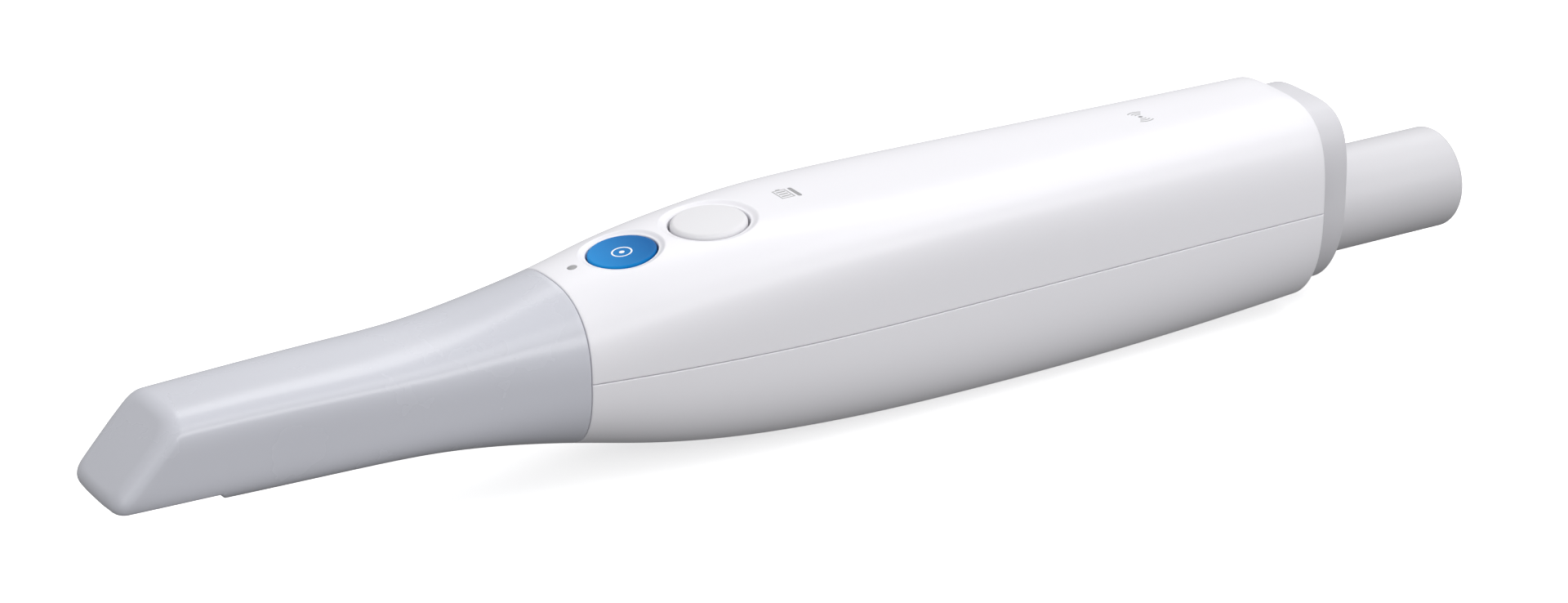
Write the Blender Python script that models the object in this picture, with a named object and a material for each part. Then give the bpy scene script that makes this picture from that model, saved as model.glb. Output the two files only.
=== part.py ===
"""A wireless intraoral camera: a handheld scanner with a removable mirror tip and a plug-in battery.

The handpiece lies along X with the mirror tip at -X, the battery at +X and the buttons on top (+Z).
Lengths are in millimetres in the tables below and become metres where each mesh is made (MM).
Every x below is measured from a datum just behind the foremost point of the tip (FRONT_X), and
every z from the plane where the two half shells meet. The empty "assembly" carries that frame to the part's own origin, which is under
the middle of the object at the lowest point of its belly.
"""

import math

import bmesh
import bpy
import numpy as np
from mathutils import Matrix, Vector

MM = 0.001

# ---------------------------------------------------------------- driving dimensions, mm
LENGTH = 313.0
FRONT_X = -0.6
REAR_X = FRONT_X + LENGTH
TIP_JOINT_X = 95.0
SHELL_END_X = 268.0
COLLAR_END_X = 276.4
BELLY_DEPTH = 25.04
WALL = 2.0
TIP_WALL = 1.3
GAP = 0.3

# The outside, one row per station: x, half width, height above the seam, depth below the seam,
# and the power of the superellipse above and below the seam (2 is an ellipse, 6 nearly a box).
OUTLINE = (
    (0, 10.95, 8.85, 8.95, 4.6, 4.5),
    (30, 12.0, 9.8, 9.6, 4.6, 4.5),
    (50, 13.0, 10.15, 9.8, 4.4, 4.3),
    (65, 13.6, 10.85, 10.7, 3.8, 3.8),
    (80, 14.7, 13.1, 13.1, 3.1, 3.1),
    (95, 16.8, 16.3, 16.35, 2.55, 2.65),
    (110, 19.0, 18.9, 19.5, 2.9, 2.75),
    (125, 20.6, 20.5, 21.85, 3.3, 2.85),
    (140, 21.6, 21.5, 23.3, 3.7, 2.9),
    (160, 21.9, 21.7, 24.4, 4.2, 2.95),
    (185, 21.2, 21.6, 24.94, 4.4, 3.0),
    (210, 20.5, 21.7, 25.05, 4.1, 2.9),
    (240, 19.6, 21.9, 24.45, 3.7, 2.7),
    (268, 19.0, 22.2, 23.1, 3.3, 2.5),
)

# The mirror tip. Its front face leans back from FACE_X at the seam's height, and its edges are
# rolled over with their own radii. The mirror behind it stands at 45 degrees.
FACE_X = 3.5
FACE_LEAN = 0.93
SIDE_RADIUS = 3.8
TOP_RADIUS = 4.3
BOTTOM_RADIUS = 3.2
RIM_Z = -7.1
STEP_X = 20.3
MOUTH_X = (4.2, 18.6)
MOUTH_HALF_WIDTH = 8.2
MOUTH_TOP = -4.9
SEAT_X = 5.9
SEAT_FLOOR_INSET = 4.0
RIM_FLOOR_INSET = 3.8
MIRROR_Z = (-3.8, 5.4)
MIRROR_THICK = 1.0
MIRROR_HALF_WIDTH = 8.1

# The optical nose that the tip slides over.
NOSE_FRONT_X = 33.0
NOSE_CLEARANCE = 0.6
SPIGOT_X = (94.0, 98.4)
SEAL_X = (89.0, 91.4)

# The optics.
BARREL_RADIUS = 5.9
LENS_RADIUS = 4.7
SPLITTER_X = 126.5
SPLITTER_SIZE = 11.0
CHASSIS_X = (99.2, 138.0)
CHASSIS_HALF_WIDTH = 9.0
CHASSIS_Z = (-11.0, 7.6)
CHASSIS_PLATE_X = (109.0, 142.0)
CHASSIS_PLATE_HALF_WIDTH = 13.2
CHASSIS_SCREWS = [(x, y) for x in (112.0, 138.0) for y in (-11.2, 11.2)]
BOSS_RADIUS = 2.4

# Each button stands square to the shell's top where it is. Heights are measured up from the shell
# there. A cap's top, its radius, the gap round it and the tilt of its frame are its own.
BUTTONS = {
    "scan": {"x": 110.95, "radius": 6.85, "gap": 0.35, "top": -0.6, "tilt": 8.0, "finish": "blue_button"},
    "mode": {"x": 130.5, "radius": 7.7, "gap": 0.5, "top": -0.05, "tilt": 4.2, "finish": "white_shell"},
}
BUTTON_TRAVEL = 0.6
FLANGE_OVER_CAP = 1.1
FLANGE_TOP = -3.3
CAP_FOOT = -4.2
POST_FOOT = -4.5
SWITCH_TOP = POST_FOOT - GAP - BUTTON_TRAVEL
SWITCH_FOOT = -7.3
BOARD_TOP = -7.75
BOARD_THICK = 1.0

# Lights on top of the shell: x, and y where one is off the middle.
STATUS_LIGHT_X = 100.1
CHARGE_LIGHT = (151.5, 2.15)
CHARGE_LIGHT_HALF = (0.45, 2.4)
LINK_LIGHT = (234.05, 0.65)

# The battery and its bay.
BATTERY_Z = -6.6
BATTERY_RADIUS = 10.95
BATTERY_FRONT_X = 224.1
BAY_RADIUS = 11.35
CELL_RADIUS = 9.15
CELL_LENGTH = 65.0

# Boards in the middle of the body.
MAIN_BOARD_X = (151.0, 217.0)
MAIN_BOARD_Z = 6.0
BOARD_SCREWS = ((156.0, -11.0), (212.0, 11.0))

FINISHES = {
    "white_shell": ((0.86, 0.86, 0.88), 0.32, 0.0),
    "grey_tip": ((0.50, 0.51, 0.55), 0.30, 0.0),
    "grey_collar": ((0.62, 0.62, 0.65), 0.35, 0.0),
    "blue_button": ((0.01, 0.18, 0.56), 0.25, 0.0),
    "light_window": ((0.45, 0.46, 0.47), 0.25, 0.0),
    "black_plastic": ((0.03, 0.03, 0.035), 0.45, 0.0),
    "grey_plastic": ((0.25, 0.26, 0.28), 0.45, 0.0),
    "aluminium": ((0.75, 0.76, 0.78), 0.35, 1.0),
    "steel": ((0.62, 0.62, 0.62), 0.30, 1.0),
    "gold": ((0.83, 0.60, 0.25), 0.25, 1.0),
    "glass": ((0.80, 0.88, 0.92), 0.03, 0.0),
    "mirror": ((0.92, 0.93, 0.95), 0.02, 1.0),
    "board_green": ((0.02, 0.16, 0.07), 0.45, 0.0),
    "chip_black": ((0.02, 0.02, 0.022), 0.40, 0.0),
    "flex_amber": ((0.55, 0.28, 0.05), 0.40, 0.0),
    "silicone": ((0.55, 0.57, 0.60), 0.60, 0.0),
    "seal_rubber": ((0.05, 0.05, 0.055), 0.65, 0.0),
    "cell_wrap": ((0.05, 0.28, 0.36), 0.35, 0.0),
    "red_wire": ((0.55, 0.02, 0.02), 0.45, 0.0),
}


# ---------------------------------------------------------------- shapes of the outside
def spline(xs, ys, x):
    """The natural cubic spline through (xs, ys), at x."""
    xs, ys = np.asarray(xs, float), np.asarray(ys, float)
    step, rise = np.diff(xs), np.diff(ys)
    rows = np.eye(len(xs))
    right = np.zeros(len(xs))
    for i in range(1, len(xs) - 1):
        rows[i, i - 1 : i + 2] = step[i - 1], 2 * (step[i - 1] + step[i]), step[i]
        right[i] = 6 * (rise[i] / step[i] - rise[i - 1] / step[i - 1])
    bend = np.linalg.solve(rows, right)
    i = int(np.clip(np.searchsorted(xs, x) - 1, 0, len(step) - 1))
    a, b, h = xs[i + 1] - x, x - xs[i], step[i]
    curve = (bend[i] * a**3 + bend[i + 1] * b**3) / (6 * h)
    return curve + (ys[i] / h - bend[i] * h / 6) * a + (ys[i + 1] / h - bend[i + 1] * h / 6) * b


def outline(x):
    """(half width, height, depth, power above, power below) of the outside at x."""
    columns = list(zip(*OUTLINE))
    x = min(max(x, columns[0][0]), columns[0][-1])
    return [float(spline(columns[0], column, x)) for column in columns[1:]]


def oval(angle, half_width, height, depth, power_above, power_below):
    """The point (y, z) at this angle of a section; angle 0 is the -Y side and a quarter turn is the top."""
    c, s = math.cos(angle), math.sin(angle)
    power = power_above if s >= 0 else power_below
    reach = (abs(c) ** power + abs(s) ** power) ** (-1 / power)
    return -half_width * c * reach, (height if s >= 0 else depth) * s * reach


def section(x, count, side=0.0, top=None, bottom=None):
    """A ring of points at x, inside the outside by these amounts at the sides, top and bottom."""
    half_width, height, depth, above, below = outline(x)
    top = side if top is None else top
    bottom = side if bottom is None else bottom
    sizes = half_width - side, height - top, depth - bottom, above, below
    return [(x, *oval(2 * math.pi * i / count, *sizes)) for i in range(count)]


def leaning(x, lean, count, side=0.0, top=0.0, bottom=0.0):
    """A ring in the plane that leans back from x at the seam's height, inset by these amounts."""
    ring = []
    for i in range(count):
        here = x
        for _ in range(4):
            half_width, height, depth, above, below = outline(here)
            sizes = half_width - side, height - top, depth - bottom, above, below
            y, z = oval(2 * math.pi * i / count, *sizes)
            here = x + lean * z
        ring.append((here, y, z))
    return ring


def eased(low, high, value):
    """0 at low, 1 at high and smooth between."""
    share = min(max((value - low) / (high - low), 0), 1)
    return share * share * (3 - 2 * share)


def circle(x, radius, count, z=0.0):
    """A ring of points round the X direction, matching section() point for point."""
    turns = [2 * math.pi * i / count for i in range(count)]
    return [(x, -radius * math.cos(t), z + radius * math.sin(t)) for t in turns]


# ---------------------------------------------------------------- mesh building
def finish_of(name):
    """The material with this name, made once."""
    made = bpy.data.materials.get(name)
    if made:
        return made
    colour, roughness, metallic = FINISHES[name]
    made = bpy.data.materials.new(name)
    made.use_nodes = True
    shader = made.node_tree.nodes["Principled BSDF"]
    shader.inputs["Base Color"].default_value = (*colour, 1.0)
    shader.inputs["Roughness"].default_value = roughness
    shader.inputs["Metallic"].default_value = metallic
    return made


def place(obj, parent, location, rotation):
    """Parents the object and places it in its parent's frame; location is in mm."""
    bpy.context.scene.collection.objects.link(obj)
    obj.parent = parent
    obj.location = Vector(location) * MM
    obj.rotation_euler = rotation


def empty(name, parent=None, location=(0, 0, 0), rotation=(0, 0, 0)):
    """A frame that pieces hang on, such as a moving body's axis."""
    made = bpy.data.objects.new(name, None)
    made.empty_display_size = 10 * MM
    place(made, parent, location, rotation)
    return made


def solid(name, points, faces, finish, parent, location=(0, 0, 0), rotation=(0, 0, 0)):
    """A named object from points in mm and faces, with its normals turned outwards."""
    mesh = bpy.data.meshes.new(name)
    mesh.from_pydata([Vector(p) * MM for p in points], [], faces)
    work = bmesh.new()
    work.from_mesh(mesh)
    bmesh.ops.recalc_face_normals(work, faces=work.faces)
    work.to_mesh(mesh)
    work.free()
    mesh.shade_smooth()
    mesh.set_sharp_from_angle(angle=math.radians(32))
    made = bpy.data.objects.new(name, mesh)
    mesh.materials.append(finish_of(finish))
    place(made, parent, location, rotation)
    return made


def skinned(name, rings, finish, parent, tube=False, **where):
    """A solid whose sides join each ring to the next; a tube's last ring joins its first."""
    count = len(rings[0])
    points = [p for ring in rings for p in ring]
    faces = []
    pairs = len(rings) if tube else len(rings) - 1
    for r in range(pairs):
        a, b = r * count, (r + 1) % len(rings) * count
        for i in range(count):
            j = (i + 1) % count
            faces.append((a + i, a + j, b + j, b + i))
    if not tube:
        faces.append(tuple(range(count)))
        faces.append(tuple(range(len(points) - count, len(points))))
    return solid(name, points, faces, finish, parent, **where)


def turned(name, profile, finish, parent, count=24, axis="X", **where):
    """A turned solid. The profile is (along the axis, radius) from one end to the other.

    An end at radius 0 is a point on the axis; otherwise it is closed flat.
    """
    points, rows, faces = [], [], []
    for along, radius in profile:
        steps = count if radius > 0 else 1
        rows.append(range(len(points), len(points) + steps))
        for i in range(steps):
            turn = 2 * math.pi * i / count
            across, up = radius * math.cos(turn), radius * math.sin(turn)
            points.append((along, across, up) if axis == "X" else (across, up, along))
    for a, b in zip(rows, rows[1:]):
        for i in range(count):
            j = (i + 1) % count
            corners = (a[i % len(a)], a[j % len(a)], b[j % len(b)], b[i % len(b)])
            faces.append(tuple(dict.fromkeys(corners)))
    faces += [tuple(row) for row in (rows[0], rows[-1]) if len(row) > 1]
    return solid(name, points, faces, finish, parent, **where)


def turned_ring(name, profile, finish, parent, count=32, axis="X", **where):
    """A turned ring whose closed profile (along the axis, radius) stays off the axis."""
    rings = []
    for along, radius in profile:
        turns = [2 * math.pi * i / count for i in range(count)]
        ring = [(radius * math.cos(t), radius * math.sin(t)) for t in turns]
        rings.append([(along, a, b) if axis == "X" else (a, b, along) for a, b in ring])
    return skinned(name, rings, finish, parent, tube=True, **where)


def block(name, low, high, finish, parent, bevel=0.0, **where):
    """A box between two corners, in mm, with its edges bevelled."""
    (x0, y0, z0), (x1, y1, z1) = low, high
    points = [(x, y, z) for x in (x0, x1) for y in (y0, y1) for z in (z0, z1)]
    faces = [(0, 1, 3, 2), (4, 6, 7, 5), (0, 4, 5, 1), (2, 3, 7, 6), (0, 2, 6, 4), (1, 5, 7, 3)]
    made = solid(name, points, faces, finish, parent, **where)
    if bevel:
        edge = made.modifiers.new("edges", "BEVEL")
        edge.width = bevel * MM
        edge.segments = 1
    return made


def drawn(name, path, thick, half_width, finish, parent, **where):
    """A flat strip that follows a path of (x, z) points, as a flat flex cable does."""
    path = [Vector(p) for p in path]
    sides = ([], [])
    for i, here in enumerate(path):
        along = (path[min(i + 1, len(path) - 1)] - path[max(i - 1, 0)]).normalized()
        across = Vector((-along.y, along.x)) * thick / 2
        sides[0].append(here + across)
        sides[1].append(here - across)
    edge = sides[0] + sides[1][::-1]
    rings = [[(p.x, y, p.y) for p in edge] for y in (-half_width, half_width)]
    return skinned(name, rings, finish, parent, **where)


def helper(obj):
    """Marks a solid as a cutter or a lump to be joined, which is no part of its own."""
    obj.hide_render = True
    obj.display_type = "WIRE"
    return obj


def combine(target, operation, tools):
    """Cuts the tools from the target, or joins them to it."""
    for tool in tools:
        step = target.modifiers.new(tool.name, "BOOLEAN")
        step.operation = operation
        step.object = helper(tool)


def clear_scene():
    """Removes whatever the file opened with."""
    for obj in list(bpy.data.objects):
        bpy.data.objects.remove(obj)


# ---------------------------------------------------------------- casing
def shell_rings(upper, stations, outer_count=21, inner_count=15):
    """Sections of a half shell: the outer arc from one side to the other, then the inner arc back."""
    rings = []
    for x in stations:
        half_width, height, depth, above, below = outline(x)
        ring = []
        for count, inset in ((outer_count, 0.0), (inner_count, WALL)):
            rise = (height if upper else depth) - inset - GAP / 2
            arc = []
            for i in range(count + 1):
                turn = math.pi * i / count
                power = above if upper else below
                y, z = oval(turn, half_width - inset, rise, rise, power, power)
                arc.append((x, y, (GAP / 2 + z) * (1 if upper else -1)))
            ring += arc if inset == 0.0 else arc[::-1]
        if not upper:
            # The belly is flat for a few millimetres across, so that the part stands still.
            middle = outer_count // 2
            level = max(ring[middle][2], -BELLY_DEPTH)
            ring[middle - 1 : middle + 3] = [(x, ring[i][1], level) for i in (middle - 1, middle + 2)]
        rings.append(ring)
    return rings


def shell_stations():
    """Where the half shells' sections stand, closer together where the shape turns."""
    front = np.linspace(TIP_JOINT_X + GAP / 2, 155, 7)
    rear = np.linspace(155, SHELL_END_X, 6)[1:]
    return [*front, *rear]


def upper_shell(parent, button_frames):
    """The top half of the casing, with button dishes and windows for the lights."""
    made = skinned("upper_shell", shell_rings(True, shell_stations()), "white_shell", parent)
    tools = []
    for name, facts in BUTTONS.items():
        frame = button_frames[name]
        well_radius = facts["radius"] + facts["gap"]
        dish = ((3.0, well_radius + 4.4), (0.0, well_radius + 1.2))
        dish += ((-0.7, well_radius + 0.5), (-0.7, well_radius - 2))
        well = ((-4.5, well_radius), (1.0, well_radius))
        tools.append(turned(name + "_dish_cutter", dish, "white_shell", frame, 28, "Z"))
        tools.append(turned(name + "_well_cutter", well, "white_shell", frame, 28, "Z"))
    for name, place, radius in (("status", (STATUS_LIGHT_X, 0), 1.2), ("link", LINK_LIGHT, 1.0)):
        hole = ((14.0, radius), (26.0, radius))
        spot = {"location": (*place, 0)}
        tools.append(turned(name + "_hole_cutter", hole, "white_shell", parent, 16, "Z", **spot))
    (x, y), (half_x, half_y) = CHARGE_LIGHT, CHARGE_LIGHT_HALF
    slot = (x - half_x - GAP, y - half_y - GAP, 17.0), (x + half_x + GAP, y + half_y + GAP, 26.0)
    tools.append(block("charge_hole_cutter", *slot, "white_shell", parent))
    combine(made, "DIFFERENCE", tools)


def lower_shell(parent):
    """The bottom half of the casing, with a boss for each screw of the optics chassis."""
    made = skinned("lower_shell", shell_rings(False, shell_stations()), "white_shell", parent)
    bosses, pilots = [], []
    boss_top = CHASSIS_Z[0] - GAP
    for i, (x, y) in enumerate(CHASSIS_SCREWS):
        half_width, _, depth, _, power = outline(x - BOSS_RADIUS)
        reach = (1 - ((abs(y) + BOSS_RADIUS) / half_width) ** power) ** (1 / power)
        floor = WALL / 3 - depth * reach
        spot = {"location": (x, y, 0)}
        boss = ((floor, BOSS_RADIUS), (boss_top, BOSS_RADIUS))
        pilot = ((boss_top - 4.6, 1.3), (boss_top + 2, 1.3))
        bosses.append(turned(f"boss_{i + 1}", boss, "white_shell", parent, 14, "Z", **spot))
        pilots.append(turned(f"boss_pilot_{i + 1}", pilot, "white_shell", parent, 10, "Z", **spot))
    combine(made, "UNION", bosses)
    combine(made, "DIFFERENCE", pilots)


def rear_collar(parent):
    """The grey collar behind the shells, whose spigot sits inside them and whose bore takes the battery."""
    count = 40

    def band(x):
        sizes = 15.6, 19.9, 21.6, 3.6, 2.2
        return [(x, *oval(2 * math.pi * i / count, *sizes)) for i in range(count)]

    def bore(x, radius):
        return circle(x, radius, count, BATTERY_Z)

    def spigot(x):
        return section(x, count, WALL + 3 * GAP)

    step_x = SHELL_END_X + GAP
    end_x = COLLAR_END_X
    rim = [[(end_x, y * 0.975, z * 0.975) for _, y, z in band(end_x)]]
    outer = [spigot(262.5), spigot(step_x), band(step_x), band(end_x - 0.6)] + rim
    groove = [bore(274.0, 12.35), bore(272.0, 12.35)]
    inner = [bore(end_x, BAY_RADIUS), bore(274.0, BAY_RADIUS), *groove, bore(272.0, BAY_RADIUS)]
    skinned("rear_collar", outer + inner + [bore(262.5, BAY_RADIUS)], "grey_collar", parent, tube=True)
    seal = [(273 + 0.68 * math.cos(t), 11.68 + 0.38 * math.sin(t)) for t in np.arange(6) * math.pi / 3]
    turned_ring("battery_seal", seal, "seal_rubber", parent, 28, location=(0, 0, BATTERY_Z))


# ---------------------------------------------------------------- mirror tip
def rolled_edge(count, steps):
    """Rings that turn from the leaning face to the outside.

    Each point runs along a conic between the face and the side that it meets: a circular arc whose
    radius is SIDE_RADIUS at the sides, TOP_RADIUS at the top and BOTTOM_RADIUS at the bottom.
    """
    tilt = math.atan(FACE_LEAN)
    half_angles = math.pi / 4, (math.pi / 2 + tilt) / 2, (math.pi / 2 - tilt) / 2
    radii = SIDE_RADIUS, TOP_RADIUS, BOTTOM_RADIUS
    reaches = [radius / math.tan(angle) for radius, angle in zip(radii, half_angles)]
    insets = reaches[0], reaches[1] * math.cos(tilt), reaches[2] * math.cos(tilt)
    corners = leaning(FACE_X, FACE_LEAN, count)
    on_face = leaning(FACE_X, FACE_LEAN, count, *insets)
    rings = [[] for _ in range(steps + 1)]
    for i in range(count):
        rise = math.sin(2 * math.pi * i / count)
        top, bottom = eased(0.45, 0.9, rise), eased(0.45, 0.9, -rise)
        shares = 1 - top - bottom, top, bottom
        reach = sum(share * length for share, length in zip(shares, reaches))
        pull = sum(share * math.sin(angle) for share, angle in zip(shares, half_angles))
        on_side = section(corners[i][0] + reach, count)[i]
        for step, ring in enumerate(rings):
            t = step / steps
            weights = (1 - t) ** 2, 2 * t * (1 - t) * pull, t * t
            ends = on_face[i], corners[i], on_side
            ring.append([sum(w * end[k] for w, end in zip(weights, ends)) / sum(weights) for k in range(3)])
    return rings


def tip_shell(parent):
    """The slip-on tip: a tapering sleeve that ends in a leaning face, open underneath at the front."""
    count = 28
    outer = rolled_edge(count, 4) + [section(x, count) for x in (24, 42, 58, 71, 81, 89)]
    outer.append(section(TIP_JOINT_X - GAP / 2, count))

    def inner_ring(x):
        floor = np.interp(x, (STEP_X + 2, STEP_X + 10), (RIM_FLOOR_INSET, TIP_WALL))
        return section(x, count, TIP_WALL, TIP_WALL, floor)

    inner = [section(TIP_JOINT_X - GAP / 2, count, TIP_WALL)]
    inner += [inner_ring(x) for x in (88, 78, 62, 44, STEP_X + 10, STEP_X + 2)]
    inner.append(leaning(SEAT_X, 1.0, count, TIP_WALL, TIP_WALL, SEAT_FLOOR_INSET))
    made = skinned("tip_shell", outer + inner, "grey_tip", parent)

    front, low = -4, -14
    side = [(front, low), (STEP_X + 5, low), (STEP_X, RIM_Z), (front, RIM_Z)]
    step = [[(x, y, z) for x, z in side] for y in (-14, 14)]
    mouth = (MOUTH_X[0], -MOUTH_HALF_WIDTH, low), (MOUTH_X[1], MOUTH_HALF_WIDTH, MOUTH_TOP)
    tools = [skinned("tip_step_cutter", step, "grey_tip", parent)]
    tools.append(block("tip_mouth_cutter", *mouth, "grey_tip", parent))
    combine(made, "DIFFERENCE", tools)


def tip_mirror(parent):
    """The first-surface mirror that turns the view down through the mouth."""
    back = GAP * 1.2 * math.sqrt(2)
    front = back + MIRROR_THICK * math.sqrt(2)
    low, high = MIRROR_Z
    plate = [(SEAT_X + z + shift, z) for z, shift in ((low, back), (low, front), (high, front), (high, back))]
    rings = [[(x, y, z) for x, z in plate] for y in (-MIRROR_HALF_WIDTH, MIRROR_HALF_WIDTH)]
    skinned("tip_mirror", rings, "mirror", parent)


# ---------------------------------------------------------------- nose and optics
def optical_nose(parent):
    """The fixed hollow nose under the tip; its rear end is a spigot inside the shells."""
    count = 24
    slim = TIP_WALL + NOSE_CLEARANCE

    def outer(x, deeper=0.0):
        return section(x, count, slim + deeper)

    def inner(x):
        return section(x, count, slim + np.interp(x, (60, 88), (1.4, 3.2)))

    spigot = [section(x, count, WALL + 3 * GAP) for x in SPIGOT_X]
    seal_groove = [outer(SEAL_X[0]), outer(SEAL_X[0], 1.2), outer(SEAL_X[1], 1.2), outer(SEAL_X[1])]
    outside = [outer(x) for x in (NOSE_FRONT_X, 48, 64, 78)] + seal_groove
    outside += [outer(93.0), *spigot]
    bore = [circle(x, BARREL_RADIUS + 0.35, count) for x in (SPIGOT_X[1], 95.7)]
    inside = [inner(x) for x in (95.7, 82, 64, NOSE_FRONT_X)]
    skinned("optical_nose", outside + bore + inside, "black_plastic", parent, tube=True)

    window = [section(x, count, slim + 1.4 + GAP) for x in (NOSE_FRONT_X + 0.3, NOSE_FRONT_X + 1.5)]
    skinned("nose_window", window, "glass", parent)
    x0, x1 = SEAL_X[0] + GAP, SEAL_X[1] - GAP
    ring = [outer(x0, 0.85), outer(x1, 0.85), outer(x1, -0.1), outer((x0 + x1) / 2, -0.25), outer(x0, -0.1)]
    skinned("tip_seal_ring", ring, "seal_rubber", parent, tube=True)


def lens_profile(x, thick, bulge, radius):
    """A biconvex lens's profile from its front point to its back point."""
    arc = [(bulge * (1 - (r / radius) ** 2), r) for r in (0.0, radius * 0.5, radius * 0.85, radius)]
    front = [(x - rise, r) for rise, r in arc]
    return front + [(x + thick + rise, r) for rise, r in reversed(arc)]


def optics(parent):
    """Lens barrel and lenses, the chassis that carries them, the splitter, camera and projector."""
    wall, radius = BARREL_RADIUS, LENS_RADIUS
    barrel = ((96.9, wall), (118.4, wall), (118.4, radius + 0.35), (96.9, radius + 0.35))
    turned_ring("lens_barrel", barrel, "black_plastic", parent, 28)
    turned("front_lens", lens_profile(99.2, 1.4, 1.1, radius), "glass", parent)
    spacer = ((101.2, radius), (109.4, radius), (109.4, radius - 0.8), (101.2, radius - 0.8))
    turned_ring("lens_spacer", spacer, "black_plastic", parent, 24)
    turned("rear_lens", lens_profile(111.2, 1.4, 1.2, radius), "glass", parent)
    half = SPLITTER_SIZE / 2
    cube = (SPLITTER_X - half, -half, -half), (SPLITTER_X + half, half, half)
    block("beam_splitter", *cube, "glass", parent, 0.4)

    chassis(parent)
    block("camera_board", (138.4, -8.8, -8.4), (139.6, 8.8, 7.4), "board_green", parent, 0.3)
    block("image_sensor", (135.6, -4.6, -4.0), (138.05, 4.6, 4.0), "chip_black", parent, 0.2)
    lens = {"location": (SPLITTER_X, 0, 0)}
    profile = lens_profile(-9.6, 1.0, 0.7, 4.6)
    turned("projector_lens", profile, "glass", parent, 20, "Z", **lens)
    block("projector_chip", (122.3, -4.2, -13.8), (130.7, 4.2, -11.4), "chip_black", parent, 0.2)
    block("projector_board", (116.0, -8.2, -15.4), (135.2, 8.2, -14.2), "board_green", parent, 0.3)
    projector_heat_sink(parent)


def chassis(parent):
    """The machined block that holds the optics in line, on a plate screwed to the lower shell."""
    low, high = CHASSIS_Z
    body = (CHASSIS_X[0], -CHASSIS_HALF_WIDTH, low), (CHASSIS_X[1], CHASSIS_HALF_WIDTH, high)
    made = block("optics_chassis", *body, "aluminium", parent)
    half = CHASSIS_PLATE_HALF_WIDTH
    plate = (CHASSIS_PLATE_X[0], -half, low), (CHASSIS_PLATE_X[1], half, low + 2.0)
    combine(made, "UNION", [block("chassis_plate", *plate, "aluminium", parent)])
    room = SPLITTER_SIZE / 2 + 0.5
    barrel_bore = ((90, BARREL_RADIUS + 0.35), (SPLITTER_X - 4, BARREL_RADIUS + 0.35))
    light_well = ((-14, 5.1), (0, 5.1))
    splitter_room = (SPLITTER_X - room, -room, -room), (SPLITTER_X + room, room, room)
    sensor_room = (SPLITTER_X, -5.2, -4.6), (145, 5.2, 4.6)
    well_spot = {"location": (SPLITTER_X, 0, 0)}
    tools = [
        turned("barrel_bore_cutter", barrel_bore, "aluminium", parent, 28),
        turned("projector_well_cutter", light_well, "aluminium", parent, 24, "Z", **well_spot),
        block("splitter_room_cutter", *splitter_room, "aluminium", parent),
        block("sensor_room_cutter", *sensor_room, "aluminium", parent),
    ]
    for i, (x, y) in enumerate(CHASSIS_SCREWS):
        hole = ((low - 2, 1.35), (low + 4, 1.35))
        spot = {"location": (x, y, 0)}
        tools.append(turned(f"plate_hole_{i + 1}", hole, "aluminium", parent, 10, "Z", **spot))
        shank = low + 2.0 + GAP
        screw(f"chassis_screw_{i + 1}", (x, y, shank), 6.4, parent)
    combine(made, "DIFFERENCE", tools)


def screw(name, under_head, length, parent):
    """A small pan-head screw with a hexagon socket, pointing down."""
    head, shank = 1.75, 1.0
    profile = ((-length, 0.55), (0.6 - length, shank), (0.0, shank), (0.0, head), (0.9, head), (1.3, 1.3))
    socket = ((1.3, 0.7), (0.5, 0.7), (0.5, 0.0))
    turned(name, profile + socket, "steel", parent, 10, "Z", location=under_head)


def projector_heat_sink(parent):
    """A finned plate that carries the projector's heat to the casing."""
    base = (119.0, -8.0, -16.7), (138.0, 8.0, -15.7)
    made = block("projector_heat_sink", *base, "aluminium", parent)
    fins = []
    for i, y in enumerate(np.linspace(-7.2, 7.2, 5)):
        low, high = (120.0, y - 0.5, -17.7), (137.0, y + 0.5, -16.3)
        fins.append(block(f"sink_fin_{i + 1}", low, high, "aluminium", parent))
    combine(made, "UNION", fins)


# ---------------------------------------------------------------- buttons and lights
def button(name, radius, top, finish, body, plunger_body, place_frame):
    """A round cap with a flange that keeps it in, its dome, and the switch that it presses."""
    edge = 0.9
    cap = [(top, 0.0), (top, radius - edge), (top - 0.25, radius - 0.25), (top - edge, radius)]
    cap += [(FLANGE_TOP, radius), (FLANGE_TOP, radius + FLANGE_OVER_CAP)]
    cap += [(CAP_FOOT, radius + FLANGE_OVER_CAP), (CAP_FOOT, 1.5), (POST_FOOT, 1.5), (POST_FOOT, 0.0)]
    turned(f"{name}_button_cap", cap, finish, body, 28, "Z")

    touch = POST_FOOT - GAP
    plunger = ((touch, 0.9), (touch - 0.2, 1.15), (touch - 1.4, 1.15))
    turned(f"{name}_switch_plunger", plunger, "black_plastic", plunger_body, 12, "Z")
    low, high = (-2.2, -2.2, SWITCH_FOOT), (2.2, 2.2, SWITCH_TOP)
    switch = block(f"{name}_switch", low, high, "steel", place_frame, 0.25)
    hole = ((SWITCH_FOOT + 0.3, 1.5), (-4.0, 1.5))
    cutter = turned(f"{name}_switch_hole", hole, "steel", place_frame, 12, "Z")
    combine(switch, "DIFFERENCE", [cutter])

    foot, crown = SWITCH_FOOT, CAP_FOOT - GAP
    dome = ((foot, 5.9), (foot + 0.7, 5.9), (crown - 0.4, 4.6), (crown, 4.6))
    dome += ((crown, 3.6), (crown - 0.4, 3.6), (foot + 0.5, 5.1), (foot, 5.1))
    turned_ring(f"{name}_button_dome", dome, "silicone", place_frame, 20, "Z")


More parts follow.
